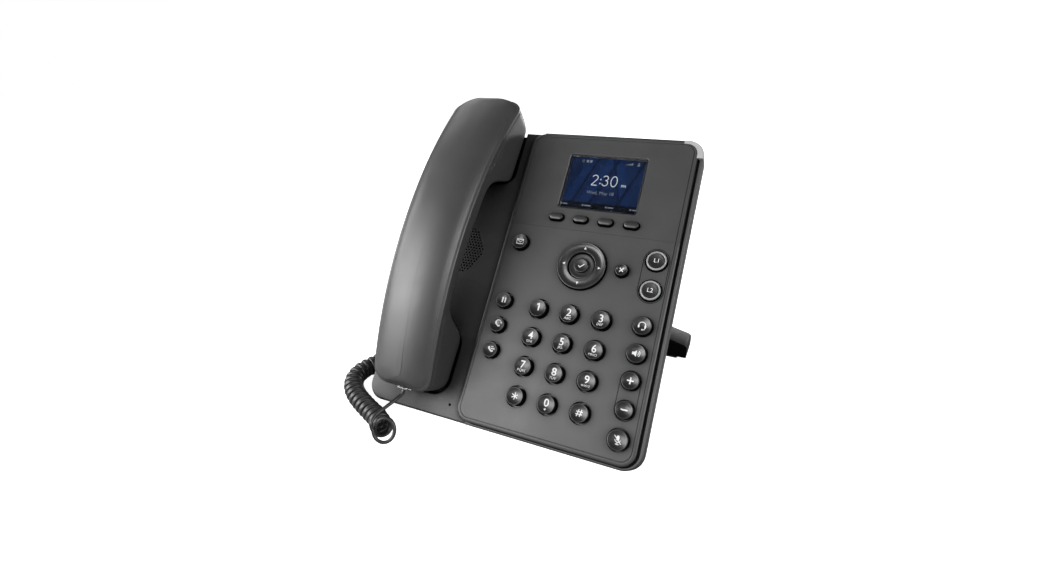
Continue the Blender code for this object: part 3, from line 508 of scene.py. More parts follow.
def across(left, right, bottom, top, v):
    """Rectangle of x and z at one v."""
    return [(left, v, bottom), (right, v, bottom), (right, v, top), (left, v, top)]


def along_x(outline, start, end):
    return loft([[(x, *point) for point in outline] for x in (start, end)])


def along_v(outline, start, end):
    return loft([[(x, v, z) for x, z in outline] for v in (start, end)])


def lathe(x, y, profile, steps=64):
    """Turned solid from (radius, z) points; off the axis the profile closes on itself."""
    if profile[0][0] > 0:
        return loft([ring(circle(x, y, radius, steps), z) for radius, z in profile],
                    closed=True)
    points, sides = walls([ring(circle(x, y, radius, steps), z)
                           for radius, z in profile[1:-1]])
    points = [(x, y, profile[0][1])] + points + [(x, y, profile[-1][1])]
    faces = [[0, 1 + (i + 1) % steps, 1 + i] for i in range(steps)]
    faces += [[i + 1 for i in face] for face in sides]
    last = len(points) - 1
    start = last - steps
    faces += [[last, start + i, start + (i + 1) % steps] for i in range(steps)]
    return points, faces


def round_over(outline, top, radius, steps=5):
    """Rings over a convex edge of the radius that ends on the plane z = top."""
    return [ring(outline(radius * side), top - radius * drop)
            for side, drop in quarter(steps)]


def pocket(outline, bottom, top, lip=0.3, floor=0.0, steps=4):
    """Cutter with a rounded lip at top and, if asked, a rounded floor at bottom."""
    if floor:
        rings = [ring(outline(-floor * drop), bottom + floor * side)
                 for side, drop in quarter(steps)]
    else:
        rings = [ring(outline(0), bottom)]
    rings += round_over(outline, top, lip, steps)
    return loft(rings + [ring(outline(lip), top + 2.5)])


def groove(outline):
    """Closed V groove centred on the outline."""
    half, depth = 0.42 / 2, 0.28
    stations = [(-half, 0.0), (-0.07, -depth), (0.07, -depth), (half, 0.0), (half, 0.6),
                (-half, 0.6)]
    return loft([ring(outline(grow), z) for grow, z in stations], closed=True)


# ---- Flat artwork: shapes whose points are (x, y)
def text_shape(text, size, bold=0.0):
    """Filled glyphs centred on (0, 0)."""
    curve = bpy.data.curves.new("text", 'FONT')
    curve.body = text
    curve.size = size
    curve.offset = bold
    curve.resolution_u = 4
    carrier = bpy.data.objects.new("text", curve)
    bpy.context.scene.collection.objects.link(carrier)
    graph = bpy.context.evaluated_depsgraph_get()
    mesh = bpy.data.meshes.new_from_object(carrier.evaluated_get(graph))
    points = [(vert.co.x, vert.co.y) for vert in mesh.vertices]
    faces = [list(face.vertices) for face in mesh.polygons]
    bpy.data.objects.remove(carrier, do_unlink=True)
    bpy.data.curves.remove(curve)
    bpy.data.meshes.remove(mesh)
    centre_x, centre_y = ((min(values) + max(values)) / 2 for values in zip(*points))
    return [(x - centre_x, y - centre_y) for x, y in points], faces


def shift(art, right, up, scale=1.0):
    return [(x * scale + right, y * scale + up) for x, y in art[0]], art[1]


def filled(points):
    return list(points), [list(range(len(points)))]


def dot(x, y, radius):
    return filled(circle(x, y, radius, 12))


def bar(left, bottom, right, top, radius, steps):
    return filled(rounded(left, bottom, right, top, radius, steps))


def triangle(x, y, size, angle):
    """Arrowhead pointing along angle."""
    turn = radians(angle)
    return filled([(x + size * cos(turn + k), y + size * sin(turn + k))
                   for k in (0, 2.25, -2.25)])


def stroke(points, width, closed=False):
    """Ribbon along a polyline, widened at its bends."""
    count = len(points)
    left, right = [], []
    for i, (x, y) in enumerate(points):
        before = points[i - 1] if closed or i else points[0]
        after = points[(i + 1) % count] if closed or i < count - 1 else points[-1]
        across_x, across_y = before[1] - after[1], after[0] - before[0]
        length = hypot(across_x, across_y)
        across_x, across_y = across_x / length, across_y / length
        miter = 1.0
        if closed or 0 < i < count - 1:
            arriving = Vector((x - before[0], y - before[1])).normalized()
            leaving = Vector((after[0] - x, after[1] - y)).normalized()
            miter = max(0.45, sqrt(max(0.0, (1 + arriving.dot(leaving)) / 2)))
        left.append((x + across_x * width / 2 / miter, y + across_y * width / 2 / miter))
        right.append((x - across_x * width / 2 / miter, y - across_y * width / 2 / miter))
    faces = []
    for i in range(count if closed else count - 1):
        j = (i + 1) % count
        faces.append([i, j, count + j, count + i])
    return left + right, faces


def raised(art, centre_x, centre_v, surface, up=0.045, down=0.12, longest=0.55):
    """Artwork as a thin solid that follows the height surface(x, y) about a centre.

    Edges are split until none is over longest; 0 leaves the faces whole.
    """
    work = bmesh.new()
    corners = [work.verts.new((x, y, 0)) for x, y in art[0]]
    for face in art[1]:
        try:
            work.faces.new([corners[i] for i in face])
        except ValueError:
            # Guards against glyph faces that repeat a corner or a face.
            pass
    bmesh.ops.remove_doubles(work, verts=work.verts, dist=1e-4)
    bmesh.ops.dissolve_degenerate(work, dist=1e-4, edges=work.edges)
    if longest:
        bmesh.ops.triangulate(work, faces=work.faces)
        for _ in range(5):
            long_edges = [edge for edge in work.edges if edge.calc_length() > longest]
            if not long_edges:
                break
            bmesh.ops.subdivide_edges(work, edges=long_edges, cuts=1, use_grid_fill=False)
            bmesh.ops.triangulate(work, faces=[f for f in work.faces if len(f.verts) > 3])
    bmesh.ops.recalc_face_normals(work, faces=work.faces)
    work.normal_update()
    for face in work.faces:
        if face.normal.z < 0:
            face.normal_flip()
    loose = [vert for vert in work.verts if not vert.link_faces]
    bmesh.ops.delete(work, geom=loose, context='VERTS')
    work.verts.index_update()
    flat = [(vert.co.x, vert.co.y) for vert in work.verts]
    count = len(flat)
    points = [(centre_x + x, centre_v + y, surface(x, y) + lift)
              for lift in (up, -down) for x, y in flat]
    faces = []
    for face in work.faces:
        order = [vert.index for vert in face.verts]
        faces.append(order)
        faces.append([i + count for i in reversed(order)])
    for edge in work.edges:
        if len(edge.link_faces) == 1:
            order = [vert.index for vert in edge.link_faces[0].verts]
            start, end = (vert.index for vert in edge.verts)
            if order[(order.index(start) + 1) % len(order)] != end:
                start, end = end, start
            faces.append([end, start, start + count, end + count])
    work.free()
    return points, faces


# ---- Top case
EAR = (SET_X - 23.8, 83.0, SET_X + 23.8, 140.0)
MOUTH = (SET_X - 20.2, -66.0, SET_X + 20.2, -23.0)
DECK_RIGHT = PLATE_X - PLATE_HALF + 8
POCKET_RIGHT = PLATE_X + PLATE_HALF + 0.35
GRILLE_X, GRILLE_V, GRILLE_PITCH = PLATE_X - 88.0, 32.0, 2.2


def corner_plan(inner_radius, grow=0.0, outset=0.0):
    """Plan of the corner lamp between the case edge and an arc about the plate's corner."""
    left, low, steps = LAMP_X - grow, LAMP_V - grow, 12
    return ([(left, CASE_TOP + outset)]
            + arc(CASE_HALF - CASE_RADIUS, CASE_TOP - CASE_RADIUS, CASE_RADIUS + outset,
                  90, 0, steps)
            + [(CASE_HALF + outset, low), (CORNER_X + inner_radius, low)]
            + arc(CORNER_X, CORNER_V, inner_radius, 0, 90, steps)
            + [(left, CORNER_V + inner_radius)])


def deck_holes():
    """Grille, a small hole at the lower edge and the plunger's opening."""
    holes = []
    for j in range(-9, 10):
        for i in range(-12, 13):
            x, v = GRILLE_PITCH * (i + 0.5 * (j % 2)), GRILLE_PITCH * 0.866 * j
            if hypot(x, v) <= 17.0:
                holes.append(prism(circle(GRILLE_X + x, GRILLE_V + v, 0.7, 10), -6.5, 0.0))
    holes.append(prism(circle(PLATE_X - 62.5, -70.0, 0.9, 16), -6.5, 0.0))
    holes.append(prism(rounded(SET_X - 4.35, PLUNGER_V - 6.35, SET_X + 4.35,
                               PLUNGER_V + 6.35, 1.0, 4), -12.0, -7.5))
    return join(*holes)


def build_top_case():
    top = make("top_case", loft(
        round_over(case_outline, RIM_Z, 1.0)[::-1]
        + [ring(case_outline(0), PART_Z + 0.25), ring(case_outline(0.25), PART_Z),
           ring(case_outline(WALL), PART_Z), ring(case_outline(WALL), DECK_Z - WALL)]),
        CASE_PLASTIC, FLAT)
    # Material behind the two handset pockets
    cut(top, join(prism(rounded(EAR[0] - 2, EAR[1] - 2, EAR[2] + 2, CASE_TOP - 0.8, 4),
                        -10.7, -4.0),
                  prism(rounded(MOUTH[0] - 2, MOUTH[1] - 2, MOUTH[2] + 2, MOUTH[3] + 2, 11),
                        -10.7, -4.0)), 'UNION')
    # Lower the left part to the deck, with a rounded edge
    deck = make("tmp_deck", box(-96, DECK_RIGHT, -84, 128, DECK_Z - 1.19, 4.0), space=FLAT)
    cut(deck, loft(round_over(case_outline, DECK_Z, 1.2)[::-1]
                   + [ring(case_outline(0), -16.0)]))
    cut_with(top, deck)
    # Seat of the faceplate and the opening below it
    cut(top, pocket(lambda grow: rounded(DECK_RIGHT - 4, PLATE_BOTTOM - 0.25 - grow,
                                         POCKET_RIGHT + grow, PLATE_TOP + 0.25 + grow,
                                         PLATE_RADIUS + 0.3 + grow, 14),
                    DECK_Z, RIM_Z, lip=0.25, steps=3))
    cut(top, prism(rounded(PLATE_X - PLATE_HALF + 4.7, -72.3, PLATE_X + PLATE_HALF - 4.7,
                           116.8, 5), -8.0, -1.5))
    cut(top, pocket(grown(*EAR, 9.0), -8.5, DECK_Z, lip=1.0, floor=1.2))
    cut(top, pocket(grown(*MOUTH, 11.0), -8.5, DECK_Z, lip=1.0, floor=1.2))
    cut(top, deck_holes())
    cut(top, prism(corner_plan(PLATE_RADIUS + 0.35 - 0.25, 0.25, 2.0), -11.3, 3.0))
    seat(top)
    # Painted shade inside the grille holes.
    paint(top, DEEP_SHADE, lambda centre, normal:
          hypot(centre.x - GRILLE_X, centre.y - GRILLE_V) < 18.2
          and (abs(normal.z) < 0.6 or centre.z < DECK_Z - 0.6))
    # Painted shade in the gap between the plate and the case's right rim.
    paint(top, RIM_GAP_SHADE, lambda centre, normal:
          PLATE_X + PLATE_HALF - 3.0 < centre.x < POCKET_RIGHT + 0.1
          and centre.z < RIM_Z - 0.35 and centre.y < CASE_TOP - 12.0)
    attach(top, "phone_body", "case_plastic", "top_housing")


def build_lamp():
    base = corner_plan(PLATE_RADIUS + 0.35)
    # outset of the case side, z
    stations = [(0.0, -2.9), (0.0, -1.5), (-0.1, -1.05), (-0.35, -0.68), (-0.75, -0.46),
                (-1.2, -0.38)]
    lamp = make("lamp_lens", loft(
        [ring(base, -11.0), ring(base, -3.0)]
        + [ring(corner_plan(NOTCH, outset=outset), z) for outset, z in stations]), LAMP)
    flatten_planes(lamp)
    attach(lamp, "phone_body", "lamp_diffuser", "message_lamp")


# ---- Rear case
RECESS = (-50.0, -32.0, 36.0, 5.5)
# x range of the openings for the network, handset and power jacks
JACK_OPENINGS = [(-13.0, 20.0), (-48.0, -24.0), (23.0, 33.0)]
JACK_BOTTOM = -24.0


def rear_ring(z, inset):
    slope = (FOOT_Z - z) / (FOOT_Z - REAR_Z)
    side = 3.0 * slope + inset
    bottom = CASE_BOTTOM + (REAR_BOTTOM - CASE_BOTTOM) * slope + inset * 1.25
    return ring(rounded(-CASE_HALF + side, bottom, CASE_HALF - side, CASE_TOP - side,
                        max(0.5, CASE_RADIUS - inset), 10), z)


def hinge_lug(start, end):
    profile = ([(HINGE_V - 7, REAR_Z + 1)] + arc(HINGE_V, HINGE_Z, 4.4, 205, 335, 14)
               + [(HINGE_V + 7, REAR_Z + 1)])
    return along_x(profile, start, end)


def build_rear_case():
    left, bottom, right, top = RECESS
    edge = [rear_ring(REAR_Z + 1.6 * drop, 1.6 * side) for side, drop in quarter(5)]
    rear = make("rear_case", loft(
        edge[::-1] + [rear_ring(FOOT_Z - 0.25, 0), rear_ring(FOOT_Z, 0.25),
                      rear_ring(FOOT_Z, WALL), rear_ring(REAR_Z + WALL, WALL)]),
        CASE_PLASTIC, FLAT)
    cut(rear, join(box(left - 2, right + 2, bottom - 2, top + 2.5, REAR_Z + 1.5, -12.2),
                   hinge_lug(-HINGE_HALF - 6.5, -HINGE_HALF - 0.5),
                   hinge_lug(HINGE_HALF + 0.5, HINGE_HALF + 6.5)), 'UNION')
    pin = circle(HINGE_V, HINGE_Z, 2.0, 24)
    cut(rear, join(*[along_x(pin, x - 4, x + 4) for x in (-HINGE_HALF, HINGE_HALF)]),
        'UNION')
    recess = grown(*RECESS, 2.0, 6)
    cut(rear, loft([ring(recess(0), -14.2)]
                   + [ring(recess(0.8 * side), REAR_Z + 0.8 * drop)
                      for side, drop in quarter(4)]
                   + [ring(recess(0.8), REAR_Z - 3)]))
    # Jack openings, screw holes and vent slots
    holes = [box(start - GAP, end + GAP, top - 1.5, top + 4, JACK_BOTTOM - GAP, -11.5)
             for start, end in JACK_OPENINGS]
    holes += [prism(circle(x, v, 1.7, 20), -30.5, -25.0) for x, v in SCREWS]
    for i in range(9):
        for x, low, high in ((52.0 + 4 * i, 56, 88), (-52.0 - 4 * i, 84, 106)):
            holes.append(prism(rounded(x - 1.0, low, x + 1.0, high, 1.0, 5), -31, -26.5))
    cut(rear, join(*holes))
    # Shallow label panel
    cut(rear, loft([ring(rounded(-24, 84, 24, 112, 2.0, 6), REAR_Z + 0.5),
                    ring(rounded(-24.4, 83.6, 24.4, 112.4, 2.4, 6), REAR_Z - 1)]))
    # Cord channel: x from the plug's middle, z from the back
    channel = [(-3.4, -1), (-3.4, 3.2), (-2.5, 4.6), (0, 5.2), (2.5, 4.6), (3.4, 3.2),
               (3.4, -1)]
    cut(rear, along_v([(BASE_PLUG_X + x, REAR_Z + z) for x, z in channel],
                      -52.0, bottom + 1.0))
    seat(rear)
    attach(rear, "phone_body", "case_plastic", "rear_housing")


def build_screws():
    # radius, z
    profile = [(0, -31.4), (1.6, -31.4), (2.3, -31.2), (2.8, -30.8), (3.0, -30.3),
               (3.0, -29.9), (1.25, -29.9), (1.25, -13.0), (0, -13.0)]
    cross = [(-0.28, -1.5), (0.28, -1.5), (0.28, -0.28), (1.5, -0.28), (1.5, 0.28),
             (0.28, 0.28), (0.28, 1.5), (-0.28, 1.5), (-0.28, 0.28), (-1.5, 0.28),
             (-1.5, -0.28), (-0.28, -0.28)]
    for i, (x, v) in enumerate(SCREWS, 1):
        screw = make("screw_%d" % i, lathe(x, v, profile, 40), STEEL)
        cut(screw, prism([(x + right, v + up) for right, up in cross], -32.0, -30.6),
            space=FACE)
        attach(screw, "phone_body", "screw_steel", "case_screw_%d" % i)


# ---- Faceplate
SYMBOLS = {"key_" + symbol: symbol for symbol in "123456789"}
SYMBOLS.update({"key_star": "*", "key_0": "0", "key_pound": "#"})
# Round keys: name, x, v, cap radius, hole radius
ROUND_KEYS = [(name, PLATE_X + (i % 3 - 1) * 20.0, -(i // 3) * 18.26, 5.45, 6.45)
              for i, name in enumerate(SYMBOLS)]
ROUND_KEYS += [("line%d_key" % i, RIGHT_X, v, 4.5, 6.92) for i, v in enumerate(LINE_KEY_V, 1)]
ROUND_KEYS += [(name, x, v, radius, radius + 0.7) for name, x, v, radius in (
    ("headset_key", RIGHT_X, 1.2, 5.45), ("speaker_key", RIGHT_X, -15.1, 5.45),
    ("volume_up_key", RIGHT_X, -30.7, 5.0), ("volume_down_key", RIGHT_X, -47.0, 5.0),
    ("mute_key", RIGHT_X, -63.4, 5.75), ("hold_key", LEFT_X, 1.1, 4.9),
    ("redial_key", LEFT_X, -15.0, 4.9), ("transfer_key", LEFT_X, -31.3, 4.9),
    ("message_key", LEFT_X, 41.1, 5.0), ("cancel_key", PLATE_X + 25.2, 32.2, 3.75))]
# Plate edge: inset, z
PLATE_EDGE = [(0.0, -2.7), (0.0, -1.1), (0.06, -0.85), (0.25, -0.55), (0.6, -0.3),
              (1.1, -0.12), (1.7, -0.02), (2.2, 0.0), (2.38, -0.05), (2.5, -0.26),
              (2.72, -0.26), (2.85, -0.04), (3.05, 0.0)]
# Planes that split the plate's faces: v, then x from the plate's middle
SPLIT_V = [-64.3, -45.7, -27.4, -9.1, 9.2, 15.0, 51.5, CREASE_V - 0.35, CREASE_V,
           CREASE_V + 0.35, 67.2, 110.5]
SPLIT_X = [-52.0, -36.0, -28.5, -16.5, -10.1, 0.0, 10.1, 16.5, 20.3, 31.0, 35.0, 53.0]


def split_faces(part):
    planes = [((0, v, 0), (0, 1, 0)) for v in SPLIT_V]
    planes += [((PLATE_X + x, 0, 0), (1, 0, 0)) for x in SPLIT_X]
    work = bmesh.new()
    work.from_mesh(part.data)
    for point, normal in planes:
        bmesh.ops.bisect_plane(work, geom=work.verts[:] + work.edges[:] + work.faces[:],
                               plane_co=Vector(point), plane_no=Vector(normal), dist=1e-8)
    work.to_mesh(part.data)
    work.free()


def plate_holes():
    holes = [pocket(round_hole(x, v, hole), -4.0, 0.0, lip=0.16, steps=3)
             for _, x, v, _, hole in ROUND_KEYS]
    holes += [pocket(grown(x - 5.3, SOFT_V - 3.0, x + 5.3, SOFT_V + 3.0, 3.0), -4.0, 0.0,
                     lip=0.16, steps=3) for x in SOFT_X]
    holes.append(pocket(round_hole(NAV_X, NAV_V, 15.7, 110), -4.0, 0.0, lip=0.2, steps=3))
    window = grown(SCREEN_X - SCREEN_WIDTH / 2, SCREEN_V - SCREEN_HEIGHT / 2,
                   SCREEN_X + SCREEN_WIDTH / 2, SCREEN_V + SCREEN_HEIGHT / 2, 1.6, 8)
    stations = [(0, -4.0), (0, -0.75), (0.55, -0.1), (0.75, 0.0), (0.75, 1.5)]
    holes.append(loft([ring(window(grow), z) for grow, z in stations]))
    return holes


def in_shaded_plate_well(centre, normal):
    """Walls of the holes, apart from the screen window and the plate's rim, for painted shade.
    """
    in_window = (abs(centre.x - SCREEN_X) < SCREEN_WIDTH / 2 + 1.5
                 and abs(centre.y - SCREEN_V) < SCREEN_HEIGHT / 2 + 1.5)
    inside_rim = (abs(centre.x - PLATE_X) < PLATE_HALF - 2.9
                  and PLATE_BOTTOM + 2.9 < centre.y < PLATE_TOP - 2.9)
    wall = centre.z < -0.12 and abs(normal.z) < 0.6 and inside_rim
    deep = centre.z < -0.75 and abs(normal.z) < 0.7
    return (wall or deep) and not in_window


def build_faceplate():
    plate = make("face_panel", loft([
        ring(rounded(PLATE_X - PLATE_HALF + inset, PLATE_BOTTOM + inset,
                     PLATE_X + PLATE_HALF - 1.15 - inset, PLATE_TOP - inset,
                     PLATE_RADIUS - inset, 14), z) for inset, z in PLATE_EDGE]),
        PLATE_PLASTIC, FLAT, sharp=50)
    split_faces(plate)
    holes = plate_holes()
    for i in range(0, len(holes), 6):
        cut(plate, join(*holes[i:i + 6]))
    # Grooves round the line keys and the volume keys
    cut(plate, join(groove(grown(RIGHT_X - 7.6, 15.4, RIGHT_X + 7.6, 49.0, 7.6, 12)),
                    groove(grown(RIGHT_X - 5.9, -53.0, RIGHT_X + 5.9, -24.7, 5.9, 12))))
    # Corner notch for the lamp
    notch, left, low = NOTCH - 0.16, LAMP_X - 0.15, LAMP_V - 0.15
    cut(plate, prism([(left, CORNER_V + notch), (left, 130.0), (100.0, 130.0), (100.0, low),
                      (CORNER_X + notch, low)]
                     + arc(CORNER_X, CORNER_V, notch, 0, 90, 14)[1:-1], -4.0, 2.0))
    # Above the crease the plate leans back slightly
    for vert in plate.data.vertices:
        if vert.co.z > -2.0 and vert.co.y > CREASE_V - 0.2:
            vert.co.z -= 0.08 + (vert.co.y - CREASE_V) * tan(radians(0.28))
    seat(plate)
    # Painted shade on the hole walls, and a dark painted gap along the plate's right edge.
    paint(plate, DEEP_SHADE, in_shaded_plate_well)
    paint(plate, RIM_GAP_SHADE, lambda centre, normal:
          centre.x > PLATE_X + PLATE_HALF - 1.6 and centre.z < -0.5)
    attach(plate, "phone_body", "faceplate_plastic", "faceplate")


# ---- Keys
LETTERS = {"2": "ABC", "3": "DEF", "4": "GHI", "5": "JKL", "6": "MNO", "7": "PQRS",
           "8": "TUV", "9": "WXYZ"}


def dish(radius, edge=3.5, depth=1.15, rim=0.5):
    """Height of a dished cap over (x, y) from its axis."""
    def surface(x, y):
        share = min(1.0, hypot(x, y) / (radius - rim))
        return edge - depth * (1 - share ** 2)
    return surface


def cap_profile(radius, surface, rim):
    """(radius, z) points of a key from its flange over the edge to the axis."""
    inner = radius - rim
    edge = surface(inner, 0)
    profile = [(0, -4.7), (radius + 0.9, -4.7), (radius + 0.9, -3.3), (radius, -3.3),
               (radius, -0.5), (radius, edge - 0.42), (radius - 0.05, edge - 0.26),
               (radius - 0.14, edge - 0.12), (radius - 0.26, edge - 0.03),
               (inner + 0.1, edge)]
    for i in range(12):
        distance = inner * (1 - i / 12)
        profile.append((distance, surface(distance, 0)))
    return profile + [(0, surface(0, 0))]


def handset_icon():
    icon = join(bar(-2.45, -0.25, -1.2, 1.0, 0.3, 4), bar(1.2, -0.25, 2.45, 1.0, 0.3, 4),
                bar(-1.9, -0.75, 1.9, 0.1, 0.35, 4))
    scale, turn = 0.86, radians(-38)
    return [((x * cos(turn) - y * sin(turn)) * scale, (x * sin(turn) + y * cos(turn)) * scale)
            for x, y in icon[0]], icon[1]


def dial_legend(symbol):
    if symbol == "*":
        tips = [(2.1 * cos(radians(a)), 2.1 * sin(radians(a))) for a in (90, 30, 150)]
        return [stroke([(-x, -y), (x, y)], 0.5) for x, y in tips]
    if symbol == "#":
        lines = [[(-1.25, -2.0), (-0.45, 2.0)], [(0.45, -2.0), (1.25, 2.0)],
                 [(-1.85, 0.72), (1.95, 0.72)], [(-1.95, -0.72), (1.85, -0.72)]]
        return [stroke(line, 0.52) for line in lines]
    if symbol == "1":
        return [filled([(-0.05, -1.3), (0.78, -1.3), (0.78, 3.15), (0.1, 3.15),
                        (-0.95, 2.55), (-0.95, 1.8), (-0.05, 2.2)])]
    parts = [shift(text_shape(symbol, 6.4, 0.055), 0, 0.95)]
    if symbol == "0":
        return parts + [stroke([(-0.62, -2.9), (0.62, -2.9)], 0.42),
                        stroke([(0, -3.52), (0, -2.28)], 0.42)]
    letters = text_shape(LETTERS[symbol], 2.25, 0.0 if symbol == "6" else 0.008)
    width = max(x for x, _ in letters[0]) * 2
    return parts + [shift(letters, 0, -2.75, min(1.0, 5.4 / width))]


LEGENDS = {name: dial_legend(symbol) for name, symbol in SYMBOLS.items()}
LEGENDS.update({
    "line1_key": [text_shape("L1", 3.7)],
    "line2_key": [text_shape("L2", 3.7)],
    "volume_up_key": [stroke([(-1.9, 0), (1.9, 0)], 0.75),
                      stroke([(0, -1.9), (0, 1.9)], 0.75)],
    "volume_down_key": [stroke([(-1.9, 0), (1.9, 0)], 0.75)],
    "hold_key": [bar(-1.35, -1.7, -0.45, 1.7, 0.15, 3), bar(0.45, -1.7, 1.35, 1.7, 0.15, 3)],
    "message_key": [
        stroke([(-2.3, -1.5), (2.3, -1.5), (2.3, 1.5), (-2.3, 1.5)], 0.42, closed=True),
        stroke([(-2.2, 1.4), (0, -0.35), (2.2, 1.4)], 0.42)],
    "cancel_key": [stroke([(-1.15, -1.15), (1.15, 1.15)], 0.62),
                   stroke([(-1.15, 1.15), (1.15, -1.15)], 0.62)],
    "redial_key": [handset_icon(), stroke(arc(0.65, 0.85, 2.0, 165, 20, 12), 0.42),
                   triangle(2.65, 1.2, 0.85, -75)],
    "transfer_key": [handset_icon(), stroke([(0.2, 0.75), (2.3, 0.75)], 0.42),
                     triangle(2.7, 0.75, 0.8, 0), stroke([(0.2, 2.05), (1.9, 2.05)], 0.42)],
    "headset_key": [
        stroke(arc(0, 0.2, 1.95, 0, 180, 20), 0.42), bar(-2.35, -1.35, -1.45, 0.45, 0.3, 4),
        bar(1.45, -1.35, 2.35, 0.45, 0.3, 4),
        stroke([(1.9, -1.3), (1.6, -2.05), (0.5, -2.3)], 0.36), dot(0.35, -2.3, 0.42)],
    "speaker_key": [
        filled([(-2.3, -0.75), (-1.25, -0.75), (0.15, -1.85), (0.15, 1.85), (-1.25, 0.75),
                (-2.3, 0.75)]),
        stroke(arc(-0.2, 0, 1.35, -42, 42, 10), 0.4),
        stroke(arc(-0.2, 0, 2.3, -45, 45, 12), 0.4)],
    "mute_key": [
        bar(-0.8, -0.35, 0.8, 2.45, 0.8, 6), stroke(arc(0, 0.35, 1.55, 190, 350, 14), 0.38),
        stroke([(0, -1.2), (0, -2.2)], 0.42), stroke([(-0.95, -2.3), (0.95, -2.3)], 0.42),
        stroke([(-2.1, 2.2), (2.1, -2.0)], 0.42)]})


def build_round_key(name, x, v, radius):
    def part_name(kind):
        return name.replace("key_", "dial_%s_" % kind).replace("_key", "_" + kind)

    is_line = name.startswith("line")
    rim = 0.35 if is_line else 0.5
    surface = dish(radius, edge=2.05, depth=0.4, rim=rim) if is_line else dish(radius)
    key = make(part_name("button"), lathe(x, v, cap_profile(radius, surface, rim), 72),
               KEY_PLASTIC, sharp=50)
    # Painted shade on the key's side below its rim.
    if not is_line:
        paint(key, SIDE_SHADE, lambda centre, normal:
              centre.z < surface(radius, 0) - 0.35 and abs(normal.z) < 0.5)
    attach(key, name, "key_plastic", name)
    # Each part stands slightly higher than the last, so overlaps don't coincide
    parts = [raised(art, x, v, surface, 0.045 + 0.004 * i)
             for i, art in enumerate(LEGENDS[name])]
    legend = make(part_name("legend"), join(*parts), LEGEND_PAINT, sharp=30)
    attach(legend, name, "key_plastic")
    if name == "key_5":
        reach = 3.55
        top = surface(reach, 0)
        profile = [(0, 1.3), (0.6, 1.3), (0.6, top + 0.1), (0.42, top + 0.26),
                   (0, top + 0.32)]
        pips = make("dial_pips_5", join(*[lathe(x + side * reach, v + 0.35, profile, 16)
                                          for side in (-1, 1)]), BLACK)
        attach(pips, name, "key_plastic")


def build_soft_key(index, x):
    def pill(grow):
        return rounded(x - 4.9 - grow, SOFT_V - 2.6 - grow, x + 4.9 + grow,
                       SOFT_V + 2.6 + grow, 2.6 + grow, 12)

    stations = [(0.7, -4.7), (0.7, -3.3), (-0.36, -3.3), (-0.36, 0.4), (-0.42, 1.85)]
    stations += [(-0.42 - 0.45 * side, 1.85 + 0.45 * (1 - drop))
                 for side, drop in quarter(5)[1:]]
    stations += [(-1.2, 2.42), (-1.7, 2.5), (-2.2, 2.52)]
    key = make("softkey_cap_%d" % index, loft([ring(pill(grow), z) for grow, z in stations]),
               SOFTKEY_PLASTIC, sharp=50)
    flatten_planes(key)
    # Painted shade on the key's side.
    paint(key, SIDE_SHADE, lambda centre, normal: centre.z < 1.84)
    attach(key, "softkey_%d" % index, "key_plastic", "softkey_%d" % index)


def build_line_ring(index, v):
    # radius, z
    profile = [(5.45, -2.6), (6.3, -2.6), (6.3, -0.8), (5.95, -0.8), (5.95, 1.0),
               (5.88, 1.3), (5.7, 1.55), (5.42, 1.7), (5.12, 1.68), (4.85, 1.5),
               (4.68, 1.2), (4.68, 0.2), (5.45, 0.0)]
    light = make("line_ring_%d" % index, lathe(RIGHT_X, v, profile, 72), LIGHT_RING, sharp=60)
    # Painted shade on the ring's outer side.
    paint(light, SIDE_SHADE, lambda centre, normal:
          centre.z < 0.95 and hypot(centre.x - RIGHT_X, centre.y - v) > 5.3)
    attach(light, "phone_body", "lamp_diffuser", "line%d_light_ring" % index)


def nav_surface(x, y):
    """Trough round the navigation ring, higher on its outer side."""
    offset = (hypot(x, y) - 11.8) / 2.75
    return 1.38 + (0.98 if offset > 0 else 0.72) * min(1.0, abs(offset)) ** 2


def build_navigation():
    # radius, z: outer side, trough, inner side
    profile = [(8.6, -4.8), (16.05, -4.8), (16.05, -4.0), (15.25, -4.0), (15.25, 1.85),
               (15.19, 2.1), (15.03, 2.3), (14.8, 2.38)]
    for i in range(15):
        distance = 14.55 - 5.45 * i / 14
        profile.append((distance, nav_surface(distance, 0)))
    profile += [(8.85, 2.02), (8.7, 1.85), (8.62, 1.55), (8.62, 0.3)]
    nav = make("nav_ring_cap", lathe(NAV_X, NAV_V, profile, 128), NAV_PLASTIC_LIT, sharp=50)
    # Painted shade on the ring's sides below the trough.
    paint(nav, SIDE_SHADE, lambda centre, normal: centre.z < 0.75)
    attach(nav, "nav_ring", "key_plastic", "nav_ring")
    arrows = [raised(triangle(11.3 * cos(radians(a)), 11.3 * sin(radians(a)), 1.05, a),
                     NAV_X, NAV_V, nav_surface, 0.05, 0.25) for a in (0, 90, 180, 270)]
    attach(make("nav_arrows", join(*arrows), LEGEND_PAINT, sharp=30), "nav_ring",
           "key_plastic")
    # radius, z of the centre key
    profile = [(0, -4.7), (8.2, -4.7), (8.2, 0.0), (8.12, 0.22), (7.9, 0.36), (7.4, 0.36),
               (6.4, 0.18), (5.4, 0.08), (4.75, 0.1), (4.62, 0.3), (4.55, 1.1), (4.5, 1.55),
               (4.35, 1.8), (4.12, 1.92), (3.85, 1.92), (3.0, 1.72), (2.0, 1.56),
               (1.0, 1.47), (0, 1.45)]
    attach(make("ok_button", lathe(NAV_X, NAV_V, profile, 96), KEY_PLASTIC, sharp=50),
           "ok_key", "key_plastic", "ok_key")
    check = raised(stroke([(-1.8, -0.1), (-0.7, -1.15), (1.9, 1.2)], 0.5), NAV_X, NAV_V,
                   lambda x, y: 1.45 + 0.03 * (x * x + y * y))
    attach(make("ok_legend", check, LEGEND_PAINT, sharp=30), "ok_key", "key_plastic")


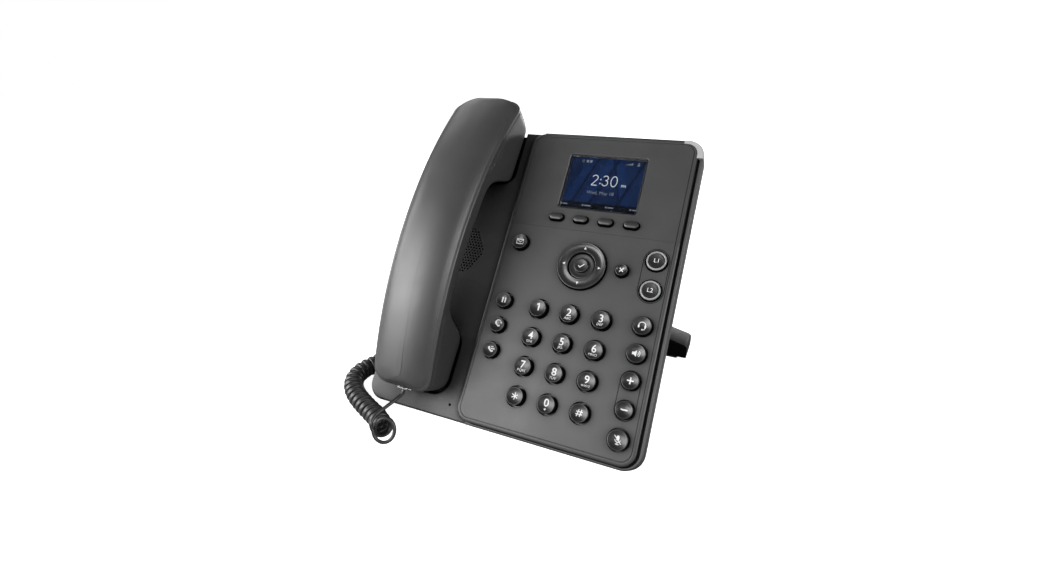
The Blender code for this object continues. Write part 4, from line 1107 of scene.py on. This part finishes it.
# ---- Screen. Artwork is drawn from the middle of the window.
IMAGE_Z = -1.95
IMAGE_X, IMAGE_Y = SCREEN_WIDTH / 2 - 1.3, SCREEN_HEIGHT / 2 - 1.2


def screen_layer(name, shapes, material, lift=0.05, thickness=0.01):
    parts = [raised(art, SCREEN_X, SCREEN_V, lambda x, y: IMAGE_Z + lift, 0.0, thickness, 0)
             for art in shapes]
    attach(make(name, join(*parts), material, sharp=30), "phone_body", "lens")


def slanted_band(left, right, lean):
    """Band across the image's full height, clipped at the image's sides."""
    points = [(left - lean, -IMAGE_Y), (right - lean, -IMAGE_Y), (right + lean, IMAGE_Y),
              (left + lean, IMAGE_Y)]
    for side in (1, -1):
        kept = []
        for i, start in enumerate(points):
            end = points[(i + 1) % len(points)]
            room, end_room = IMAGE_X - side * start[0], IMAGE_X - side * end[0]
            if room >= 0:
                kept.append(start)
            if room * end_room < 0:
                share = room / (room - end_room)
                kept.append((start[0] + (end[0] - start[0]) * share,
                             start[1] + (end[1] - start[1]) * share))
        points = kept
    return filled(points)


def image_strip(top):
    return filled([(-IMAGE_X, -IMAGE_Y), (IMAGE_X, -IMAGE_Y), (IMAGE_X, top), (-IMAGE_X, top)])


def clock_art():
    """The time 2:30 with PM beside it."""
    width = 0.58
    two = ellipse_arc(-10.2, 4.0, 2.15, 1.95, 165, -30, 16) + [(-12.3, -1.6)]
    digits = [stroke(two, width), stroke([(-12.4, -1.6), (-7.9, -1.6)], width),
              dot(-5.6, 0.0, 0.5), dot(-5.6, 3.0, 0.5),
              stroke(ellipse_arc(-1.9, 4.15, 1.95, 1.75, 160, -90, 16), width),
              stroke(ellipse_arc(-1.9, 0.55, 2.2, 2.05, 90, -165, 18), width),
              stroke(ellipse_arc(5.0, 2.15, 2.35, 3.8, 0, 342, 30), width, closed=True)]
    digits = [([(x * 0.84 + 2.7, y * 0.95 + 0.3) for x, y in points], faces)
              for points, faces in digits]
    return digits + [shift(text_shape("PM", 2.6), 13.6, -0.4)]


def status_art():
    low = IMAGE_Y - 3.4
    return [bar(-14.5, low, -12.9, IMAGE_Y - 1.6, 0.2, 2),
            bar(-12.2, low, -10.6, IMAGE_Y - 1.6, 0.2, 2),
            stroke(arc(-16.6, IMAGE_Y - 2.5, 0.8, 0, 330, 12), 0.3),
            dot(20.2, IMAGE_Y - 1.8, 0.55),
            filled([(19.2, IMAGE_Y - 3.6), (21.2, IMAGE_Y - 3.6), (20.8, IMAGE_Y - 2.6),
                    (19.6, IMAGE_Y - 2.6)])] + [
        bar(12.0 + 1.2 * i, low, 12.8 + 1.2 * i, IMAGE_Y - 3.0 + 0.4 * i, 0.08, 2)
        for i in range(4)]


def label_art():
    """A small block and a bar above each soft key."""
    labels = []
    for key_x, half in zip(SOFT_X, (2.4, 3.0, 2.7, 2.2)):
        x = (key_x - SCREEN_X) * 0.93
        labels += [bar(x - half, -IMAGE_Y + 1.6, x - half + 1.1, -IMAGE_Y + 2.7, 0.15, 2),
                   bar(x - half + 1.6, -IMAGE_Y + 1.75, x + half, -IMAGE_Y + 2.5, 0.3, 3)]
    return labels


def build_screen():
    mask = prism(rounded(SCREEN_X - 29, SCREEN_V - 22, SCREEN_X + 29, SCREEN_V + 22, 1.0, 4),
                 -3.0, IMAGE_Z - 0.1)
    attach(make("screen_mask", mask, BLACK), "phone_body", "module_frame")
    # Bands: left, right, lean
    dark = [(-13.6, -11.9, 6.5), (-1.2, 0.9, 7.5), (8.6, 9.8, -5.5), (16.4, 18.4, 6.5)]
    light = [(-19.5, -13.9, 6.5), (-7.6, -1.5, 7.5), (9.9, 15.2, -5.5)]
    screen_layer("screen_image", [image_strip(IMAGE_Y)], SCREEN_BASE, lift=0, thickness=0.02)
    screen_layer("screen_bands_dark", [slanted_band(*band) for band in dark], SCREEN_DARK,
                 lift=0.012)
    screen_layer("screen_bands_light", [slanted_band(*band) for band in light], SCREEN_LIGHT,
                 lift=0.006, thickness=0.005)
    screen_layer("screen_bar", [image_strip(-IMAGE_Y + 4.2)], SCREEN_BAR, lift=0.036)
    screen_layer("screen_clock", clock_art(), SCREEN_WHITE)
    date = shift(text_shape("Wed, May 18", 3.3, -0.01), -0.4, -6.8)
    screen_layer("screen_date", [date], SCREEN_GREY)
    screen_layer("screen_status", status_art(), SCREEN_GREY)
    screen_layer("screen_labels", label_art(), SCREEN_GREY)

    def lens(inset):
        half_x = SCREEN_WIDTH / 2 - 0.3 - inset
        half_v = SCREEN_HEIGHT / 2 - 0.3 - inset
        return rounded(SCREEN_X - half_x, SCREEN_V - half_v, SCREEN_X + half_x,
                       SCREEN_V + half_v, 1.3, 6)

    glass = loft([ring(lens(0), -1.7), ring(lens(0), -0.98), ring(lens(0.1), -0.85)])
    attach(make("screen_glass", glass, GLASS), "phone_body", "lens", "screen_lens")


# ---- Handset
# Underside of the inner shell: v, z
UNDER = [(-67.0, 11.2), (-66.0, 8.0), (-64.5, 3.5), (-62.5, -1.5), (-59.0, -5.4),
         (-54.0, -7.0), (-32.0, -7.0), (-28.0, -5.5), (-25.0, -1.5), (-21.5, 8.0),
         (-18.0, 16.0), (-14.0, 21.0), (-8.0, 23.2), (32.0, 24.2), (60.0, 23.0),
         (66.0, 21.6), (72.0, 18.0), (77.0, 11.5), (81.0, 4.5), (84.5, -2.5), (88.0, -6.0),
         (92.0, -7.0), (123.0, -7.0), (127.0, -5.0), (130.0, -1.5), (133.0, 3.2),
         (135.5, 6.8), (137.0, 8.4), (138.0, 9.2)]
# Crown of the outer shell: side inset to height above the band, and to end inset
CROWN_HEIGHT = [(2.55, 1.25), (4.5, 2.85), (7.0, 4.3), (10.0, 5.45), (14.0, 6.4),
                (17.5, 6.85), (20.9, 7.0)]
CROWN_END = [(2.55, 1.0), (7.0, 2.2), (14.0, 4.2), (20.9, 6.6)]
CROWN_INSETS = (20.6, 19, 17, 15, 13, 11.2, 9.6, 8.2, 7.0, 5.9, 5.0, 4.2, 3.6, 3.1, 2.75,
                2.55)
# Outer shell below the crown, then its inside: side inset, end inset, height
OUTER_EDGE = [(2.4, 0.97, 1.02), (2.2, 0.94, 0.7), (1.75, 0.85, 0.22), (1.35, 0.72, 0.0),
              (0.75, 0.5, -0.22), (0.35, 0.3, -0.45), (0.1, 0.12, -0.85), (0.0, 0.02, -1.4),
              (0.0, 0.0, -2.7), (0.12, 0.12, -3.0)]
OUTER_INSIDE = [(2.0, 2.0, -3.0), (4.2, 3.0, -0.4), (7.4, 4.2, 2.2), (14.0, 6.2, 4.3),
                (20.2, 8.0, 5.0)]
# Inner shell and its inside: side inset, end inset, share of the way from seam to underside
CUP = [(0.55, 0.55, 0.0), (0.40, 0.40, 0.012), (0.45, 0.45, 0.18), (0.5, 0.5, 0.35),
       (0.62, 0.58, 0.56), (0.85, 0.75, 0.76), (1.15, 0.95, 0.86), (1.6, 1.2, 0.932),
       (2.2, 1.5, 0.972), (2.9, 1.75, 0.992), (3.6, 2.0, 1.0)]
CUP_INSIDE = [(0.4, 0.4, 0.0), (0.5, 0.5, 0.35), (0.8, 0.7, 0.75), (1.6, 1.2, 0.93),
              (3.6, 2.0, 1.0)]


def spaced(start, end, steps):
    return [start + (end - start) * i / steps for i in range(steps + 1)]


OUTER_STATIONS = spaced(-56.0, 122.0, 60)
INNER_STATIONS = (spaced(-56.0, -34.0, 6) + spaced(-32.5, -6.0, 18) + spaced(-2.0, 58.0, 12)
                  + spaced(61.0, 94.0, 22) + spaced(97.0, 122.0, 7))


def smooth(share):
    return share * share * (3 - 2 * share)


def band_z(v):
    """Height of the arched band along the handset's side."""
    return 35.6 - (v - 32.0) ** 2 / 514.0


def seam(v):
    return band_z(v) - 3.0


def half_width(v):
    return 20.96 + 0.0218 * (v - 32.0)


def curve_at(table, at):
    """Smooth interpolation through a table without overshoot."""
    if at <= table[0][0]:
        return table[0][1]
    if at >= table[-1][0]:
        return table[-1][1]
    count = len(table) - 1
    k = max(i for i in range(count) if table[i][0] <= at)
    gaps = [table[i + 1][0] - table[i][0] for i in range(count)]
    slopes = [(table[i + 1][1] - table[i][1]) / gaps[i] for i in range(count)]

    def tangent(i):
        if i in (0, count):
            return slopes[min(i, count - 1)]
        if slopes[i - 1] * slopes[i] <= 0:
            return 0.0
        before, after = 2 * gaps[i] + gaps[i - 1], gaps[i] + 2 * gaps[i - 1]
        return (before + after) / (before / slopes[i - 1] + after / slopes[i])

    share = (at - table[k][0]) / gaps[k]
    square, cube = share ** 2, share ** 3
    return ((2 * cube - 3 * square + 1) * table[k][1]
            + (cube - 2 * square + share) * tangent(k) * gaps[k]
            + (-2 * cube + 3 * square) * table[k + 1][1]
            + (cube - square) * tangent(k + 1) * gaps[k])


def half_plan(stations):
    """Right half of the plan, bottom to top: (x from the middle, v)."""
    return (arc(half_width(SET_BOTTOM + 5) - 9.0, SET_BOTTOM + 9.0, 9.0, -90, 0, 14)
            + [(half_width(v), v) for v in stations]
            + arc(half_width(SET_TOP - 6) - 12.0, SET_TOP - 12.0, 12.0, 0, 90, 14))


def drape(stations, inset, end_inset, height):
    """The inset plan at height(v); the left side bulges where it stands high."""
    middle, half_length, fade = (SET_BOTTOM + SET_TOP) / 2, (SET_TOP - SET_BOTTOM) / 2, 16.0
    right = []
    for x, v in half_plan(stations):
        near_end = max(0.0, (abs(v - middle) - (half_length - fade)) / fade)
        near_end = min(1.0, near_end * 1.15)
        right.append((x * (1 - inset / half_width(v)),
                      v - copysign(end_inset * smooth(near_end), v - middle)))

    def left_x(x, v):
        high = min(1.0, max(0.0, (height(v) - 2.0) / 7.0))
        down = min(1.0, max(0.0, (70.0 - v) / 130.0))
        return SET_X - x * (1 + high * (3.1 + 1.1 * smooth(down)) / half_width(v))

    plan = [(SET_X + x, v) for x, v in right] + [(left_x(x, v), v) for x, v in right[::-1]]
    return [(x, v, height(v)) for x, v in plan]


def shell(rings):
    """Loft whose ends are closed by strips from the right side to the left."""
    points, faces = walls(rings)
    size = len(rings[0])
    for start, flip in ((0, True), (len(points) - size, False)):
        for i in range(size // 2 - 1):
            strip = [start + i, start + i + 1, start + size - 2 - i, start + size - 1 - i]
            faces.append(strip[::-1] if flip else strip)
    return points, faces


def above_band(height):
    return lambda v: band_z(v) + height


def below_seam(share, underside):
    return lambda v: seam(v) - GAP + share * (underside(v) - seam(v) + GAP)


def under(v):
    return curve_at(UNDER, v)


def under_inside(v):
    return max(under(v - 2.0), under(v), under(v + 2.0)) + 2.0


def build_handset():
    crown = [(inset, curve_at(CROWN_END, inset), curve_at(CROWN_HEIGHT, inset))
             for inset in CROWN_INSETS]
    outer = make("handset_back", shell([
        drape(OUTER_STATIONS, inset, end, above_band(height))
        for inset, end, height in crown + OUTER_EDGE + OUTER_INSIDE]), SET_PLASTIC, sharp=42)
    attach(outer, "handset", "handset_plastic", "handset_outer_shell")

    rings = [drape(INNER_STATIONS, inset, end, below_seam(share, under))
             for inset, end, share in CUP[::-1]]
    rings += [drape(INNER_STATIONS, inset + 2.1, end + 2.1, below_seam(share, under_inside))
              for inset, end, share in CUP_INSIDE]
    inner = make("handset_front", shell(rings), SET_INNER, sharp=42)
    # Plug opening, holes at the ear, holes at the mouth
    holes = [box(SET_PLUG_X - 4.2, SET_PLUG_X + 4.2, -72.0, -56.0, 4.6, 11.8)]
    for radius, count in ((0.0, 1), (3.4, 6), (6.8, 12), (10.2, 18)):
        holes += [prism(circle(x, v, 0.85, 12), -9.0, -4.0)
                  for x, v in circle(SET_X, 105.5, radius, count)]
    holes += [prism(circle(SET_X + 3.0 * k, -45.5, 0.8, 12), -9.0, -3.5) for k in (-1, 0, 1)]
    cut(inner, join(*holes), space=FACE)
    attach(inner, "handset", "handset_plastic", "handset_inner_shell")


def build_plunger():
    # half width, half height, corner radius, z
    stations = [(6, 8, 1, -17.0), (6, 8, 1, -15.3), (4, 6, 1, -15.3), (4, 6, 1, -8.3),
                (3.9, 5.9, 1, -7.95), (3.6, 5.6, 1, -7.65), (3.1, 5.1, 0.8, -7.4),
                (2.4, 4.4, 0.6, -7.3)]
    plunger = make("hook_plunger", loft([
        ring(rounded(SET_X - width, PLUNGER_V - height, SET_X + width, PLUNGER_V + height,
                     radius, 5), z) for width, height, radius, z in stations]),
        CASE_PLASTIC, sharp=50)
    flatten_planes(plunger)
    attach(plunger, "hookswitch", "case_plastic", "hookswitch_plunger")


def build_plug(name, x, nose, tail, bottom, top, latch_side, body, node):
    """Clear block from v = nose to v = tail, with a latch tongue and four contacts."""
    way = 1 if tail > nose else -1

    def block(inset, v):
        return across(x - PLUG_HALF + inset, x + PLUG_HALF - inset, bottom + inset,
                      top - inset, v)

    chamfer = 0.35
    body_shape = loft([block(chamfer, nose), block(0, nose + way * chamfer),
                       block(0, tail - way * chamfer), block(chamfer, tail)])
    attach(make(name, body_shape, CLEAR, sharp=30), body, "clear_plug", node)
    root = bottom if latch_side < 0 else top
    latch = loft([across(x - 1.6, x + 1.6, root, root + latch_side * 0.7, nose + way * 1.0),
                  across(x - 1.3, x + 1.3, root + latch_side * 0.9, root + latch_side * 1.5,
                         tail - way * 0.8)])
    attach(make(name + "_latch", latch, CLEAR, sharp=30), body, "clear_plug")
    low, high = sorted((nose + way * 1.2, nose + way * 4.5))
    contacts = [box(middle - 0.18, middle + 0.18, low, high, bottom + 1.2, top - 1.4)
                for middle in (x - 1.9 + 1.27 * k for k in range(4))]
    attach(make(name + "_contacts", join(*contacts), GOLD, sharp=30), body, "clear_plug")


# ---- Cord, in row-frame millimetres
PITCH, COIL_RADIUS = 5.15, 5.35
# Half sizes of the jacket: coil thickness and breadth, and the round lead
THICK, BROAD, LEAD = 1.25, 2.05, 1.12
TURN_STEPS, AXIS_STEP = 30, 0.25
END_ANGLE = radians(92.0)
# Last loose loop: its turns, its middle and its directions
LOOP_TURNS = 1.15
LOOP_MIDDLE = Vector((-57.7, -42.5, 8.7)) + MIDDLE
LOOP_UP, LOOP_LEFT = Vector((-0.160, 0.354, 0.921)), Vector((-0.9115, -0.4113, 0.0))
LOOP_ALONG = Vector((0.379, -0.840, 0.389))
# Axis of the coil on the desk, from the middle of the front feet
COIL_AXIS = [(-98.5, 40.0, 6.9), (-105.0, 34.8, 6.9), (-110.6, 26.0, 6.9),
             (-113.8, 16.0, 6.9), (-115.9, 7.0, 6.9), (-114.3, -2.9, 6.9),
             (-108.3, -11.9, 6.9), (-99.7, -19.0, 6.9), (-89.8, -24.6, 6.9),
             (-80.8, -28.9, 6.9), (-72.9, -32.6, 7.0), (-65.2, -37.3, 7.3),
             (-60.6, -40.6, 7.8)]


def catmull(points, steps):
    """Catmull-Rom curve through the points."""
    curve = []
    padded = [points[0]] + list(points) + [points[-1]]
    for i in range(1, len(padded) - 2):
        before, start, end, after = (Vector(point) for point in padded[i - 1:i + 3])
        for j in range(steps):
            t = j / steps
            curve.append(0.5 * ((2 * start) + (end - before) * t
                                + (2 * before - 5 * start + 4 * end - after) * t * t
                                + (3 * start - before - 3 * end + after) * t ** 3))
    return curve + [Vector(points[-1])]


def resample(points, step):
    lengths = [0.0]
    for start, end in zip(points, points[1:]):
        lengths.append(lengths[-1] + (end - start).length)
    count = max(2, int(round(lengths[-1] / step)))
    even, k = [], 0
    for i in range(count + 1):
        at = lengths[-1] * i / count
        while k < len(lengths) - 2 and lengths[k + 1] < at:
            k += 1
        share = (at - lengths[k]) / max(lengths[k + 1] - lengths[k], 1e-9)
        even.append(points[k].lerp(points[k + 1], share))
    return even


def square_to(direction, tangent):
    return (direction - tangent * direction.dot(tangent)).normalized()


def sweep(path, sections, steps=14):
    """Oval section along a path; sections hold a direction (or None), the half
    thickness along it and the half width across it."""
    count = len(path)
    tangents = [(path[min(i + 1, count - 1)] - path[max(i - 1, 0)]).normalized()
                for i in range(count)]
    ups = [section[0] and square_to(section[0], tangent)
           for section, tangent in zip(sections, tangents)]
    known = [i for i in range(count) if ups[i] is not None]
    for i in range(known[0] - 1, -1, -1):
        ups[i] = square_to(ups[i + 1], tangents[i])
    for i in range(known[-1] + 1, count):
        ups[i] = square_to(ups[i - 1], tangents[i])
    rings = []
    for point, tangent, up, (_, thick, wide) in zip(path, tangents, ups, sections):
        side = tangent.cross(up)
        rings.append([point + up * (thick * cos(2 * pi * k / steps))
                      + side * (wide * sin(2 * pi * k / steps)) for k in range(steps)])
    return loft(rings)


def coil_frames():
    """Points along the coil's axis with tangent, up and side directions."""
    axis = resample(catmull([Vector(point) + MIDDLE for point in COIL_AXIS], 12), AXIS_STEP)
    frames = []
    up = Vector((0, 0, 1))
    for i, point in enumerate(axis):
        tangent = (axis[min(i + 1, len(axis) - 1)] - axis[max(i - 1, 0)]).normalized()
        up = square_to(up, tangent)
        frames.append((point, tangent, up, tangent.cross(up)))
    return frames


def coil():
    """Points and sections of the coil and the loose loop at its end."""
    frames = coil_frames()
    total = AXIS_STEP * (len(frames) - 1)
    coil_steps, loop_steps = int(total / PITCH * TURN_STEPS), int(LOOP_TURNS * TURN_STEPS)
    points, sections = [], []
    for i in range(coil_steps + loop_steps + 1):
        at = total * min(i, coil_steps) / coil_steps
        k = min(len(frames) - 2, int(at / AXIS_STEP))
        share = min(1.0, at / AXIS_STEP - k)
        start, _, start_up, start_side = frames[k]
        end, tangent, end_up, end_side = frames[k + 1]
        up = start_up.lerp(end_up, share).normalized()
        side = start_side.lerp(end_side, share).normalized()
        in_loop = (i - coil_steps) / loop_steps if i > coil_steps else 0.0
        if i <= coil_steps:
            turned = 2 * pi * (at - total) / PITCH
        else:
            turned = 2 * pi * LOOP_TURNS * in_loop
        angle = END_ANGLE + 2 * pi * LOOP_TURNS - turned
        spoke = up * cos(angle) + side * sin(angle)
        point = (start.lerp(end, share) + tangent * (PITCH * LOOP_TURNS * in_loop)
                 + spoke * (COIL_RADIUS * min(1.0, at / 9.0) ** 0.6))
        to_loop = smooth(min(1.0, in_loop / 0.42))
        loop_point = (LOOP_MIDDLE + LOOP_UP * (7.3 * cos(angle))
                      + LOOP_LEFT * (6.3 * sin(angle)) + LOOP_ALONG * (0.6 + 2.6 * in_loop))
        loop_spoke = LOOP_UP * cos(angle) + LOOP_LEFT * sin(angle)
        points.append(point.lerp(loop_point, to_loop))
        oval = smooth(min(1.0, at / 7.0) * (1 - min(1.0, in_loop * 1.6)))
        sections.append((spoke.lerp(loop_spoke, to_loop).normalized(),
                         LEAD + (THICK - LEAD) * oval, LEAD + (BROAD - LEAD) * oval))
    return points, sections


def build_cord():
    helix, helix_sections = coil()
    # From the plug in the back, down to the desk and to the coil
    base_lead = [place(BASE_PLUG_X, -2.2, -18.5), place(-42.3, -7.0, -18.9),
                 place(-42.6, -14.0, -22.0), place(-48.0, -26.0, -33.0),
                 Vector((-66.0, 39.0, 17.5)) + MIDDLE, Vector((-84.0, 37.5, 9.0)) + MIDDLE,
                 Vector((-92.5, 39.5, 7.0)) + MIDDLE]
    start = resample(catmull(base_lead + [helix[0]], 10), 0.9)[:-1]
    # From the loop up into the handset's plug
    entry = [place(SET_PLUG_X - 1.0, -71.6, 7.9), place(SET_PLUG_X - 0.3, -69.4, 8.2),
             place(SET_PLUG_X, -65.0, 8.2)]
    rise = helix[-1] + (helix[-1] - helix[-3]).normalized() * 5.0
    set_lead = [rise] + [rise.lerp(entry[0], share) + Vector(offset) for share, offset in (
        (0.22, (-0.9, -0.5, 1.2)), (0.5, (-0.6, -0.4, 0.8)), (0.8, (-0.1, -0.1, 0.2)))]
    finish = resample(catmull([helix[-8], helix[-1]] + set_lead + entry, 10)[10:], 0.6)[1:]
    path = start + helix + finish
    plain = (None, LEAD, LEAD)
    sections = [plain] * len(start) + helix_sections + [plain] * len(finish)
    split = len(start)
    lead = make("cord_lead", sweep(path[:split + 1], sections[:split + 1]), CORD, ROW,
                sharp=80)
    attach(lead, "phone_body", "cord_jacket")
    cord = make("coiled_cord", sweep(path[split:], sections[split:]), CORD, ROW, sharp=80)
    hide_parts("handset_cord")
    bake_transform(cord)


# ---- Stand, in row-frame millimetres
def build_stand():
    front, back = 129.0 + MID_Y, 154.0 + MID_Y
    outline = ([(-94.5, 2), (94.5, 2), (94.5, 8.6)] + arc(91.0, 9.5, 3.5, 0, 72, 6)[1:]
               + [(58.5, 21.8), (56.0, 22.0), (-56.0, 22.0), (-58.5, 21.8)]
               + arc(-91.0, 9.5, 3.5, 108, 180, 6)[:-1] + [(-94.5, 8.6)])
    stand = make("rear_stand", loft([
        [(x + MID_X, front, z) for x, z in outline],
        [(x + MID_X, back, z * 0.88 + 0.24) for x, z in outline]]), STAND_PLASTIC, ROW)

    # Neck from the hinge down to the foot; rearward is square to it
    hinge = place(0, HINGE_V, HINGE_Z)
    down = Vector((0, (front + back) / 2 - 2 - hinge.y, 10 - hinge.z)).normalized()
    rearward = Vector((0, -down.z, down.y))

    def slab(centre, half, bottom, top):
        return [centre + Vector((side * half, 0, 0)) + rearward * rise
                for side, rise in ((-1, bottom), (1, bottom), (1, top), (-1, top))]

    # distance down the neck, half width, half thickness
    stations = [(1.0, 27, 3.0), (40, 30, 3.2)]
    stations += [(40 + 56 * k, 30 + 30 * k ** 1.6, 3.2 + 1.3 * k)
                 for k in (i / 8 for i in range(1, 9))]
    cut(stand, loft([slab(hinge + down * at, half, -thick, thick)
                     for at, half, thick in stations]), 'UNION', ROW)
    cut(stand, along_x(circle(hinge.y, hinge.z, 4.2, 36), -HINGE_HALF + MID_X,
                       HINGE_HALF + MID_X), 'UNION', ROW)
    bore = circle(hinge.y, hinge.z, 2.35, 24)
    cut(stand, join(*[along_x(bore, start + MID_X, end + MID_X) for start, end in (
        (-HINGE_HALF - 2, -HINGE_HALF + 4.4), (HINGE_HALF - 4.4, HINGE_HALF + 2))]),
        space=ROW)
    # Recess in the rear of the neck
    cut(stand, loft([slab(hinge + down * 14.0 + rearward * 2.2, 20.0, 0, 6),
                     slab(hinge + down * 84.0 + rearward * 3.0, 34.0, 0, 6)]), space=ROW)
    bevel = stand.modifiers.new("bev", 'BEVEL')
    bevel.width = 0.0007
    bevel.segments = 3
    bevel.limit_method = 'ANGLE'
    bevel.angle_limit = radians(35)
    bevel.miter_outer = 'MITER_ARC'
    bake(stand)
    # Painted shade on the foot's front face.
    paint(stand, DEEP_SHADE, lambda centre, normal:
          normal.y < -0.9 and centre.y < front + 0.4, ROW)
    attach(stand, "stand", "case_plastic", "stand")


# ---- Jack contacts, network lamps and rubber feet
def build_contacts(name, left, right, count, front_z, back_z):
    """Row of sloping wires in a jack."""
    pitch = (right - left) / count
    half = pitch * 0.26
    wires = []
    for k in range(count):
        x = left + (right - left) * (k + 0.5) / count
        wires.append(loft([across(x - half, x + half, z, z + 0.35, v)
                           for z, v in ((front_z, 7.4), (back_z, 17.4))]))
    attach(make(name, join(*wires), GOLD, sharp=30), "phone_body", "jack_shield")


def build_network_lamps():
    lamps = join(*[box(x - 0.9, x + 0.9, 5.9, 6.6, -23.6, -22.7)
                   for x in (-9.8, -0.8, 7.8, 16.8)])
    attach(make("network_lamps", lamps, LAMP, sharp=30), "phone_body", "lamp_diffuser")


def build_rubber(name, node, body):
    """Foot with seven grooves across its underside, sized from its CAD node."""
    low, high = (corner * 1000 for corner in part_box(node))
    outline = rounded(low.x, low.y, high.x, high.y, 1.6, 6)
    inset = rounded(low.x + 0.4, low.y + 0.4, high.x - 0.4, high.y - 0.4, 1.3, 6)
    rubber = make(name, loft([ring(inset, low.z), ring(outline, low.z + 0.4),
                              ring(outline, high.z)]), RUBBER, ROW)
    step = (high.y - low.y) / 9
    cut(rubber, join(*[box(low.x + 2, high.x - 2, low.y + step * (k + 0.36),
                           low.y + step * (k + 0.64), low.z - 1, low.z + 0.45)
                       for k in range(1, 8)]), space=ROW)
    attach(rubber, body, "foot_rubber", node)


def color_kept_nodes():
    """Materials for the CAD nodes that keep their shape."""
    kept = {"lcd_module": SHIELD, "main_pcb": BOARD, "keypad_mat": SILICONE,
            "loudspeaker": CONE, "network_jacks": SHIELD, "handset_jacks": BLACK,
            "power_jack": BLACK, "nav_dome_pad": SILICONE, "receiver_capsule": CONE,
            "microphone_capsule": SHIELD}
    for name, material in kept.items():
        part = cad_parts[name]
        if not part.material_slots:
            part.data.materials.append(material)
        for slot in part.material_slots:
            slot.link = 'OBJECT'
            slot.material = material


# ---- Stage, in metres
def build_floor():
    """Floor that curves up into a wall behind the telephone."""
    start, radius = 2.2, 1.2
    profile = [(-3.0, 0.0), (start, 0.0)]
    profile += [(start + radius * sin(radians(a)), radius - radius * cos(radians(a)))
                for a in range(6, 91, 6)]
    profile.append((3.4, 4.0))
    points = [(x, y, z - 0.0002) for x in (-5.0, 5.0) for y, z in profile]
    count = len(profile)
    faces = [[i, count + i, count + i + 1, i + 1] for i in range(count - 1)]
    mesh = bpy.data.meshes.new("studio_floor")
    mesh.from_pydata(points, [], faces)
    for face in mesh.polygons:
        face.use_smooth = True
    mesh.materials.append(floor_material())
    floor = bpy.data.objects.new("studio_floor", mesh)
    bpy.context.scene.collection.objects.link(floor)


# name, location, height of the point aimed at above the origin, width, height, watts
SOFTBOXES = [
    ("key_softbox", (-0.98, -1.18, 0.80), 0.08, 1.3, 0.9, 36.5),
    ("left_softbox", (-1.45, -0.25, 0.50), 0.10, 1.0, 0.7, 11.2),
    ("front_softbox", (0.15, -1.50, 0.90), 0.10, 1.2, 0.8, 5.9),
    ("back_softbox", (-0.80, 0.80, 1.00), 0.10, 0.9, 0.7, 3.4),
    ("right_softbox", (1.30, -0.40, 0.70), 0.10, 0.9, 0.7, 17.8),
    ("low_softbox", (-1.25, -0.85, 0.30), 0.10, 0.9, 0.5, 5.5),
    ("rear_softbox", (0.35, 1.70, 0.16), 0.09, 1.1, 0.28, 5.0)]


def build_lights():
    for name, location, aim, width, height, power in SOFTBOXES:
        light = bpy.data.lights.new(name, 'AREA')
        light.shape = 'RECTANGLE'
        light.size = width
        light.size_y = height
        light.energy = power
        holder = bpy.data.objects.new(name, light)
        bpy.context.scene.collection.objects.link(holder)
        holder.location = location
        toward = Vector((0, 0, aim)) - Vector(location)
        holder.rotation_euler = toward.to_track_quat('-Z', 'Y').to_euler()


def build_world():
    """White to the camera, dim to every other ray."""
    scene = bpy.context.scene
    scene.world = scene.world or bpy.data.worlds.new("studio")
    scene.world.use_nodes = True
    tree = scene.world.node_tree
    dim = tree.nodes["Background"]
    feed(tree, dim, {"Color": (1, 1, 1, 1), "Strength": 0.14})
    bright = add(tree, "Background", {"Color": (1, 1, 1, 1), "Strength": 1.0})
    camera_ray = add(tree, "LightPath").outputs["Is Camera Ray"]
    mix = add(tree, "MixShader", {0: camera_ray, 1: dim.outputs[0], 2: bright.outputs[0]})
    feed(tree, tree.nodes["World Output"], {"Surface": mix.outputs[0]})
    scene.view_settings.view_transform = 'Standard'


def build_camera():
    camera = bpy.data.cameras.new("camera")
    camera.lens = 18.03
    camera.sensor_width = 36.0
    camera.sensor_fit = 'HORIZONTAL'
    camera.clip_start = 0.01
    holder = bpy.data.objects.new("camera", camera)
    bpy.context.scene.collection.objects.link(holder)
    holder.location = ((123.849 + MID_X) / 1000, (-243.001 + MID_Y) / 1000, 0.21147)
    toward = Vector((-0.379, 0.840, -0.389))
    holder.rotation_euler = toward.to_track_quat('-Z', 'Y').to_euler()
    bpy.context.scene.camera = holder


build_top_case()
build_lamp()
build_rear_case()
build_screws()
build_faceplate()
for name, x, v, radius, _ in ROUND_KEYS:
    build_round_key(name, x, v, radius)
for i, x in enumerate(SOFT_X, 1):
    build_soft_key(i, x)
for i, v in enumerate(LINE_KEY_V, 1):
    build_line_ring(i, v)
build_navigation()
build_screen()
build_handset()
build_plunger()
build_plug("handset_cord_plug", SET_PLUG_X, nose=-57.5, tail=-68.4, bottom=5.2, top=11.2,
           latch_side=1, body="handset", node="handset_plug")
build_plug("base_cord_plug", BASE_PLUG_X, nose=16.5, tail=-3.0, bottom=-21.6, top=-15.4,
           latch_side=-1, body="phone_body", node="base_plug")
build_cord()
build_stand()
build_contacts("network_contacts_1", -9.4, -1.2, 8, -15.4, -18.6)
build_contacts("network_contacts_2", 8.2, 16.4, 8, -15.4, -18.6)
build_contacts("headset_contacts", -32.2, -27.6, 4, -15.8, -18.4)
build_network_lamps()
build_rubber("front_rubber_left", "front_foot_left", "phone_body")
build_rubber("front_rubber_right", "front_foot_right", "phone_body")
build_rubber("stand_rubber", "stand_foot_pad", "stand")
color_kept_nodes()
build_floor()
build_lights()
build_world()
build_camera()

bpy.context.view_layer.update()
